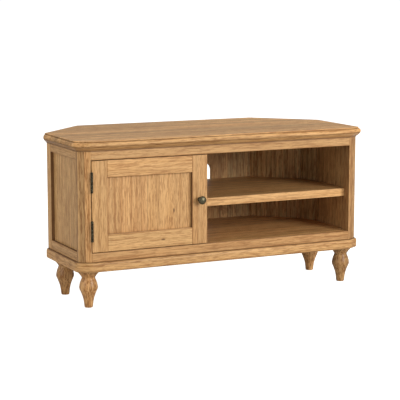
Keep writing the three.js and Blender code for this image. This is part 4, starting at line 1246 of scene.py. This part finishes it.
def build_door():
    """The door's stiles, rails and set-back panel."""
    m = metal()
    _, door_left = hinge_faces()
    pockets = [hinge_pocket(which, "door", door_left) for which in HINGES]
    _, high, centre, radius = round_of("knob_screw")
    wide, deep = radius + m.leaf_fit, m.knob_screw_head + m.leaf_fit
    start = (centre[0], high[1] - deep, centre[2])
    counterbore = turned([(0, 0), (wide, 0), (wide, deep * 3), (0, deep * 3)], start, "y", BARREL_SIDES)
    for which, cutters in (("hinge", pockets), ("lock", [counterbore])):
        node = f"door_stile_{which}"
        dress_board(Board(node, "z", STILE_LEVEL, "oak_door", Z, X, "door"), cutters)
    for which in ENDS:
        dress_board(Board(f"door_rail_{which}", "x", 0.5, "oak_door_rail", X, Z, "door"))
    dress_board(Board("door_panel", "z", 0.5, "oak_door_panel", Z, X, "door", PANEL_SHIFT))


# Turned feet

# The foot's radius at each height, as shares of its belly and of the whole
FOOT_RADIUS_SHARES = (0.42, 0.46, 0.53, 0.64, 0.84, 0.97, 1.0, 0.9, 0.78, 0.73, 0.88, 1.08)
FOOT_HEIGHT_SHARES = (0, 0.035, 0.17, 0.29, 0.425, 0.5, 0.565, 0.685, 0.76, 0.81, 0.875, 0.935)
FOOT_BELLY_SHARE = 28 / 31
# The round collar's bulge against half its height, and the flat under the foot against its toe
COLLAR_SHARE, TOE_SHARE = 0.5, 0.9


def foot_profile(radius, height):
    """Radius and height up a foot: toe, belly and waist on a smooth curve, then a round collar."""
    belly = radius * FOOT_BELLY_SHARE
    profile = np.stack([np.array(FOOT_RADIUS_SHARES) * belly, np.array(FOOT_HEIGHT_SHARES) * height], 1)
    curve = smooth_profile(profile, FOOT_SAMPLES)
    t = np.linspace(0, math.pi, 9)
    rim = (1 - FOOT_HEIGHT_SHARES[-1]) * height / 2
    bead = np.stack([radius - rim * COLLAR_SHARE * (1 - np.sin(t)), height - rim * (1 + np.cos(t))], 1)
    toe = np.array([[0, 0], [curve[0, 0] * TOE_SHARE, 0]])
    return np.concatenate([toe, curve, bead, [[0, height]]])


def build_feet():
    """The four turned feet, with the grain upright through each."""
    for place in ("front_left", "front_right", "rear_left", "rear_right"):
        node = f"foot_{place}"
        low, high, centre, radius = round_of(node)
        profile = foot_profile(radius, high[2] - low[2])
        shape = turned(profile, (centre[0], centre[1], low[2]), "z", FOOT_SIDES)
        piece = piece_of(node + "_finished", [shape])
        # The front right foot takes a darker copy of the feet's oak, painted shade
        finish = "oak_right_foot" if place == "front_right" else "oak_foot"
        lay_grain(piece, finish, Z, X, node)
        settle_wood(piece, finish, "carcass", node)


# Metalwork

# The knob's radius at each distance from the door, as shares of its head and of the whole
KNOB_RADIUS_SHARES = (0.0, 0.6, 0.62, 0.58, 0.44, 0.39, 0.40, 0.72, 0.95, 1.0, 0.94, 0.78, 0.52, 0.0)
KNOB_REACH_SHARES = (0.0, 0.0, 0.03, 0.08, 0.19, 0.32, 0.42, 0.54, 0.62, 0.7, 0.8, 0.88, 0.95, 1.0)
# The knob is rubbed from this share of its reach outwards, and the more the further out
RUBBED_FROM_SHARE, RUBBED_GAIN = 0.4, 1.4
# The knob screw's tip, and how far its shank runs into its head
TIP_SHARE, TIP_LENGTH, SHANK_OVERRUN = 0.7, 0.001, 0.0005
# How far a screw head's dome falls and its cross goes in, as shares of its height
DOME_FALL_SHARE, CROSS_DEPTH_SHARE = 0.4, 0.45
# Half width of the cross's arms, their reach, and the slopes beside each, as shares of the head's radius
ARM_SHARE, CROSS_SHARE, ARM_SLOPE_SHARE, CROSS_SLOPE_SHARE = 0.13, 0.62, 0.06, 0.1
# Where the screws of a hinge leaf stand, up it and from its back edge
LEAF_SCREW_SHARES, LEAF_SCREW_LINE = (0.16, 0.5, 0.84), 0.42
# The catch's rounding, where its two poles stand and how far they reach, and its plate's corners
CATCH_EASE, POLE_SHARES, POLE_REACH, STRIKE_CORNER = 0.0012, ((0.3, 0.4), (0.6, 0.7)), 0.004, 0.002
# The poles stop short of the catch's ends by a share of its height, and have a rounding of their own
POLE_END_SHARE, POLE_EASE = 0.2, 0.0002
# Where the screws of the strike plate stand up it, and the radius and height of their heads
STRIKE_SCREW_SHARES, STRIKE_SCREW_RADIUS, STRIKE_SCREW_DOME = (0.25, 0.75), 0.0026, 0.0005


def build_knob():
    """The knob: a base, a waist and a low domed head, and behind the door the screw that holds it."""
    m = metal()
    low, high, centre, radius = round_of("knob")
    tall = high[1] - low[1]
    profile = np.stack([np.array(KNOB_RADIUS_SHARES) * radius, np.array(KNOB_REACH_SHARES) * tall], 1)
    curve = np.concatenate([profile[:2], smooth_profile(profile[2:], KNOB_SAMPLES)])
    shape = turned(curve, (centre[0], high[1], centre[2]), "y", KNOB_SIDES, -1)
    proud = (high[1] - shape.points[..., 1]) / tall
    shape = shape._replace(wear=np.clip(proud - RUBBED_FROM_SHARE, 0, 1) * RUBBED_GAIN)
    metal_piece("knob", [shape], "antique_metal", "door")
    low, high, centre, radius = round_of("knob_screw")
    seat = high[1] - m.knob_screw_head
    dome = screw_head((centre[0], seat, centre[2]), radius, m.knob_screw_head, "y", 1)
    thick, end = m.knob_screw_radius, seat - low[1] + SHANK_OVERRUN
    shank = turned([(0, 0), (thick * TIP_SHARE, 0), (thick, TIP_LENGTH), (thick, end), (0, end)],
                   (centre[0], low[1], centre[2]), "y", PIN_SIDES)
    metal_piece("knob_screw", [dome, shank], "steel", "door")


def screw_head(start, radius, height, axis, sense):
    """A round screw head with a cross recess: a disc whose surface is a shallow dome less the cross.

    At radius r the dome stands height (1 - fall (r/R)^2) over its seat. The recess takes away up to its
    depth's share of the height, where the nearer arm of the cross is close and r is within its reach.
    """
    r = np.linspace(1, 0.02, 14)[:, None]
    a = np.arange(SCREW_SIDES) / SCREW_SIDES * 2 * math.pi
    x, y = r * np.cos(a), r * np.sin(a)
    arm = np.minimum(np.abs(x), np.abs(y))
    across = np.clip((ARM_SHARE - arm) / ARM_SLOPE_SHARE, 0, 1)
    recess = across * np.clip((CROSS_SHARE - r) / CROSS_SLOPE_SHARE, 0, 1)
    lift = height * (1 - DOME_FALL_SHARE * r ** 2 - CROSS_DEPTH_SHARE * recess)
    flat = np.stack([x, y * sense], -1) * radius
    rim = flat[:1]
    points = np.concatenate([
        along_axis(rim * 0.7, 0.0, axis), along_axis(rim, height * 0.15 * sense, axis),
        along_axis(flat, lift * sense, axis)])
    return Shell(points + np.asarray(start), np.zeros(points.shape[:2]))


def leaf_plate(low, high):
    """The plate of a hinge leaf, with rounded corners."""
    m = metal()
    return eased_prism(rectangle(low, high, "x"), low[0], high[0], "x", m.metal_ease, 3, m.leaf_corner)


def build_hinges():
    """Two butt hinges: on each a leaf on the post, a leaf on the door, knuckles turn about, and the pin."""
    m = metal()
    post_face, door_face = hinge_faces()
    axis_x = (post_face + door_face) / 2
    for which in HINGES:
        low, high = low_high(f"hinge_{which}_frame_leaf")
        axis_y = low[1] + m.barrel_radius
        tall = (high[2] - low[2]) / m.knuckles
        for side, face, into, first, body in (
                ("frame", post_face, -1, 0, "carcass"), ("door", door_face, 1, 1, "door")):
            back = face + into * m.leaf_thickness
            near, far = min(face, back), max(face, back)
            plate_front = high[1] - m.leaf_width
            shells = [leaf_plate((near, plate_front, low[2]), (far, high[1], high[2]))]
            for k in range(first, m.knuckles, 2):
                bottom = low[2] + k * tall + (m.knuckle_gap / 2 if k else 0)
                top = low[2] + (k + 1) * tall - (m.knuckle_gap / 2 if k < m.knuckles - 1 else 0)
                shells.append(knuckle((axis_x, axis_y), bottom, top))
                shells.append(block(
                    (near, axis_y, bottom), (far, plate_front + m.leaf_corner, top), m.metal_ease))
            for share in LEAF_SCREW_SHARES:
                place = (face, high[1] - m.leaf_width * LEAF_SCREW_LINE, low[2] + (high[2] - low[2]) * share)
                shells.append(screw_head(place, m.screw_head_radius, m.screw_dome, "x", -into))
            metal_piece(f"hinge_{which}_{side}_leaf", shells, "antique_metal", body)
        pin_low, pin_high = low_high(f"hinge_{which}_pin")
        seat, dome = high[2] - pin_low[2], pin_high[2] - high[2]
        thin, wide, over = m.pin_radius, m.pin_head_radius, seat + m.knuckle_gap
        pin = turned([
            (0, 0), (thin * 0.8, 0), (thin, m.metal_ease), (thin, over), (wide, over),
            (wide, seat + dome * 0.5), (wide * 0.8, seat + dome * 0.85), (0, seat + dome)],
            (axis_x, axis_y, pin_low[2]), "z", PIN_SIDES)
        metal_piece(f"hinge_{which}_pin", [pin], "antique_metal", "carcass")


def knuckle(axis_place, bottom, top):
    """One knuckle of a hinge: a short barrel with rounded ends."""
    m = metal()
    r, e = m.barrel_radius, m.metal_ease
    tall = top - bottom
    profile = [(r * 0.5, 0), (r - e, 0), (r - e * 0.3, e * 0.3), (r, e), (r, tall - e),
               (r - e * 0.3, tall - e * 0.3), (r - e, tall), (r * 0.5, tall)]
    return turned(profile, (axis_place[0], axis_place[1], bottom), "z", BARREL_SIDES)


def build_catch():
    """The magnetic catch on the divider, its plate on the door and the pins of the loose shelf."""
    low, high = low_high("magnetic_catch")
    thick = high[0] - low[0]
    tab = (high[2] - low[2]) * POLE_END_SHARE
    body = block(low + (0, CATCH_EASE, 0), high, CATCH_EASE)
    poles = []
    for start, end in POLE_SHARES:
        poles.append(block(
            (low[0] + thick * start, low[1], low[2] + tab),
            (low[0] + thick * end, low[1] + POLE_REACH, high[2] - tab), POLE_EASE))
    metal_piece("magnetic_catch", [body], "catch_plastic", "carcass")
    settle(piece_of("catch_poles", poles), plated_steel(), "carcass", [])
    low, high = low_high("strike_plate")
    plate = eased_prism(
        rectangle(low, high, "y"), low[1], high[1], "y", metal().metal_ease, 3, STRIKE_CORNER)
    heads = []
    for share in STRIKE_SCREW_SHARES:
        place = ((low[0] + high[0]) / 2, high[1], low[2] + (high[2] - low[2]) * share)
        heads.append(screw_head(place, STRIKE_SCREW_RADIUS, STRIKE_SCREW_DOME, "y", 1))
    metal_piece("strike_plate", [plate, *heads], "steel", "door")
    for i in range(1, 5):
        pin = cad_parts[f"shelf_pin_{i}"]
        pin.data.materials.clear()
        pin.data.materials.append(plated_steel())


# Stage

WHITE = (1, 1, 1, 1)
# The whiteness that the camera sees of the floor and of the surroundings
FLOOR_GLOW, WORLD_SEEN = 0.9, 1.05
# Each light: where it stands, the side of its square, the setting of its power, and its tint
LIGHTS = {
    "key": ((1.7, -3.8, 1.6), 1.5, "key_power", (1.0, 0.985, 0.955)),
    "fill": ((-4.0, -1.2, 1.5), 2.2, "fill_power", (1.0, 0.98, 0.96)),
    "overhead": ((0.3, 0.1, 3.0), 2.6, "top_power", (1.0, 0.98, 0.95)),
}
LIT_PLACE = Vector((0, 0, 0.25))


def build_stage():
    """A pale floor, a white world, soft lights from the front and the sides, and the camera."""
    scene = bpy.context.scene
    stage = scene.cabinet_stage
    half = stage.floor_size / 2
    mesh = bpy.data.meshes.new("floor")
    corners = [(-half, -half, 0), (half, -half, 0), (half, half, 0), (-half, half, 0)]
    mesh.from_pydata(corners, [], [(0, 1, 2, 3)])
    floor = bpy.data.objects.new("floor", mesh)
    scene.collection.objects.link(floor)
    material, bench, shader = blank_material("pale_floor")
    place = bench.add("ShaderNodeTexCoord").outputs["Object"]
    cloud = bench.noise(place, (2.0,) * 3, 3.0)
    pale = colours().floor
    seen = bench.add("ShaderNodeLightPath").outputs["Is Camera Ray"]
    bench.feed_all(shader.inputs, {
        "Base Color": bench.mix(cloud, opaque(pale), opaque(pale, 0.985)), "Roughness": 0.9,
        "Emission Color": WHITE, "Emission Strength": bench.times(seen, FLOOR_GLOW)})
    mesh.materials.append(material)

    world = bpy.data.worlds.new("white_room")
    world.use_nodes = True
    scene.world = world
    tools = Bench(world.node_tree)
    seen = tools.add("ShaderNodeLightPath").outputs["Is Camera Ray"]
    tools.feed_all(world.node_tree.nodes["Background"].inputs, {
        0: WHITE, 1: tools.ramp(seen, 0.0, 1.0, stage.world_light, WORLD_SEEN, False)})

    for name, (where, side, power, tint) in LIGHTS.items():
        lamp = bpy.data.lights.new(name, "AREA")
        lamp.shape = "SQUARE"
        lamp.size = side
        lamp.energy = getattr(stage, power)
        lamp.color = tint
        holder = bpy.data.objects.new(name, lamp)
        holder.location = where
        holder.rotation_euler = (LIT_PLACE - Vector(where)).to_track_quat("-Z", "Y").to_euler()
        scene.collection.objects.link(holder)

    view = bpy.data.cameras.new("camera")
    view.lens = stage.camera_lens
    view.sensor_width = 36.0
    view.clip_start, view.clip_end = 0.1, 60.0
    camera = bpy.data.objects.new("camera", view)
    camera.location = stage.camera_place
    camera.rotation_euler = Euler((math.pi / 2 - stage.camera_pitch, 0, -stage.camera_yaw))
    scene.collection.objects.link(camera)
    scene.camera = camera
    scene.view_settings.view_transform = "Standard"
    scene.view_settings.look = "None"


def builder(name, label, build):
    """An operator class that runs one build function."""
    def execute(self, context):
        build()
        return {"FINISHED"}
    return type("CABINET_OT_" + name, (bpy.types.Operator,), {
        "__doc__": build.__doc__, "bl_idname": "cabinet." + name, "bl_label": label, "execute": execute})


OPERATORS = tuple(builder(*step) for step in (
    ("top", "Top board", build_top_board), ("bed", "Bed moulding", build_bed_moulding),
    ("plinth", "Plinth", build_plinth), ("front", "Front frame", build_front_frame),
    ("sides", "Side frames", build_side_frames), ("rear", "Rear frames", build_rear_frames),
    ("shelves", "Shelves", build_shelves), ("door", "Door", build_door), ("feet", "Feet", build_feet),
    ("knob", "Knob", build_knob), ("hinges", "Hinges", build_hinges),
    ("catch", "Catch and pins", build_catch), ("stage", "Stage", build_stage)))
GROUPS = {"cabinet_sizes": CabinetSizes, "cabinet_metal": CabinetMetal, "cabinet_colours": CabinetColours,
          "cabinet_stage": CabinetStage}


class CABINET_PT_panel(bpy.types.Panel):
    """Lists the cabinet's steps."""

    bl_idname = "CABINET_PT_panel"
    bl_label = "Corner cabinet"
    bl_space_type = "VIEW_3D"
    bl_region_type = "UI"
    bl_category = "Cabinet"

    def draw(self, context):
        for kind in OPERATORS:
            self.layout.operator(kind.bl_idname)


def register():
    """Registers the settings, the operators and the panel."""
    for kind in (*GROUPS.values(), *OPERATORS, CABINET_PT_panel):
        bpy.utils.register_class(kind)
    for name, kind in GROUPS.items():
        setattr(bpy.types.Scene, name, bpy.props.PointerProperty(type=kind))


def unregister():
    """Takes away what register added."""
    for name in GROUPS:
        delattr(bpy.types.Scene, name)
    for kind in (CABINET_PT_panel, *reversed(OPERATORS), *reversed(GROUPS.values())):
        bpy.utils.unregister_class(kind)


def main():
    """Builds everything in order and writes the two boxes."""
    register()
    for kind in OPERATORS:
        group, name = kind.bl_idname.split(".")
        getattr(getattr(bpy.ops, group), name)()


if __name__ == "__main__":
    main()
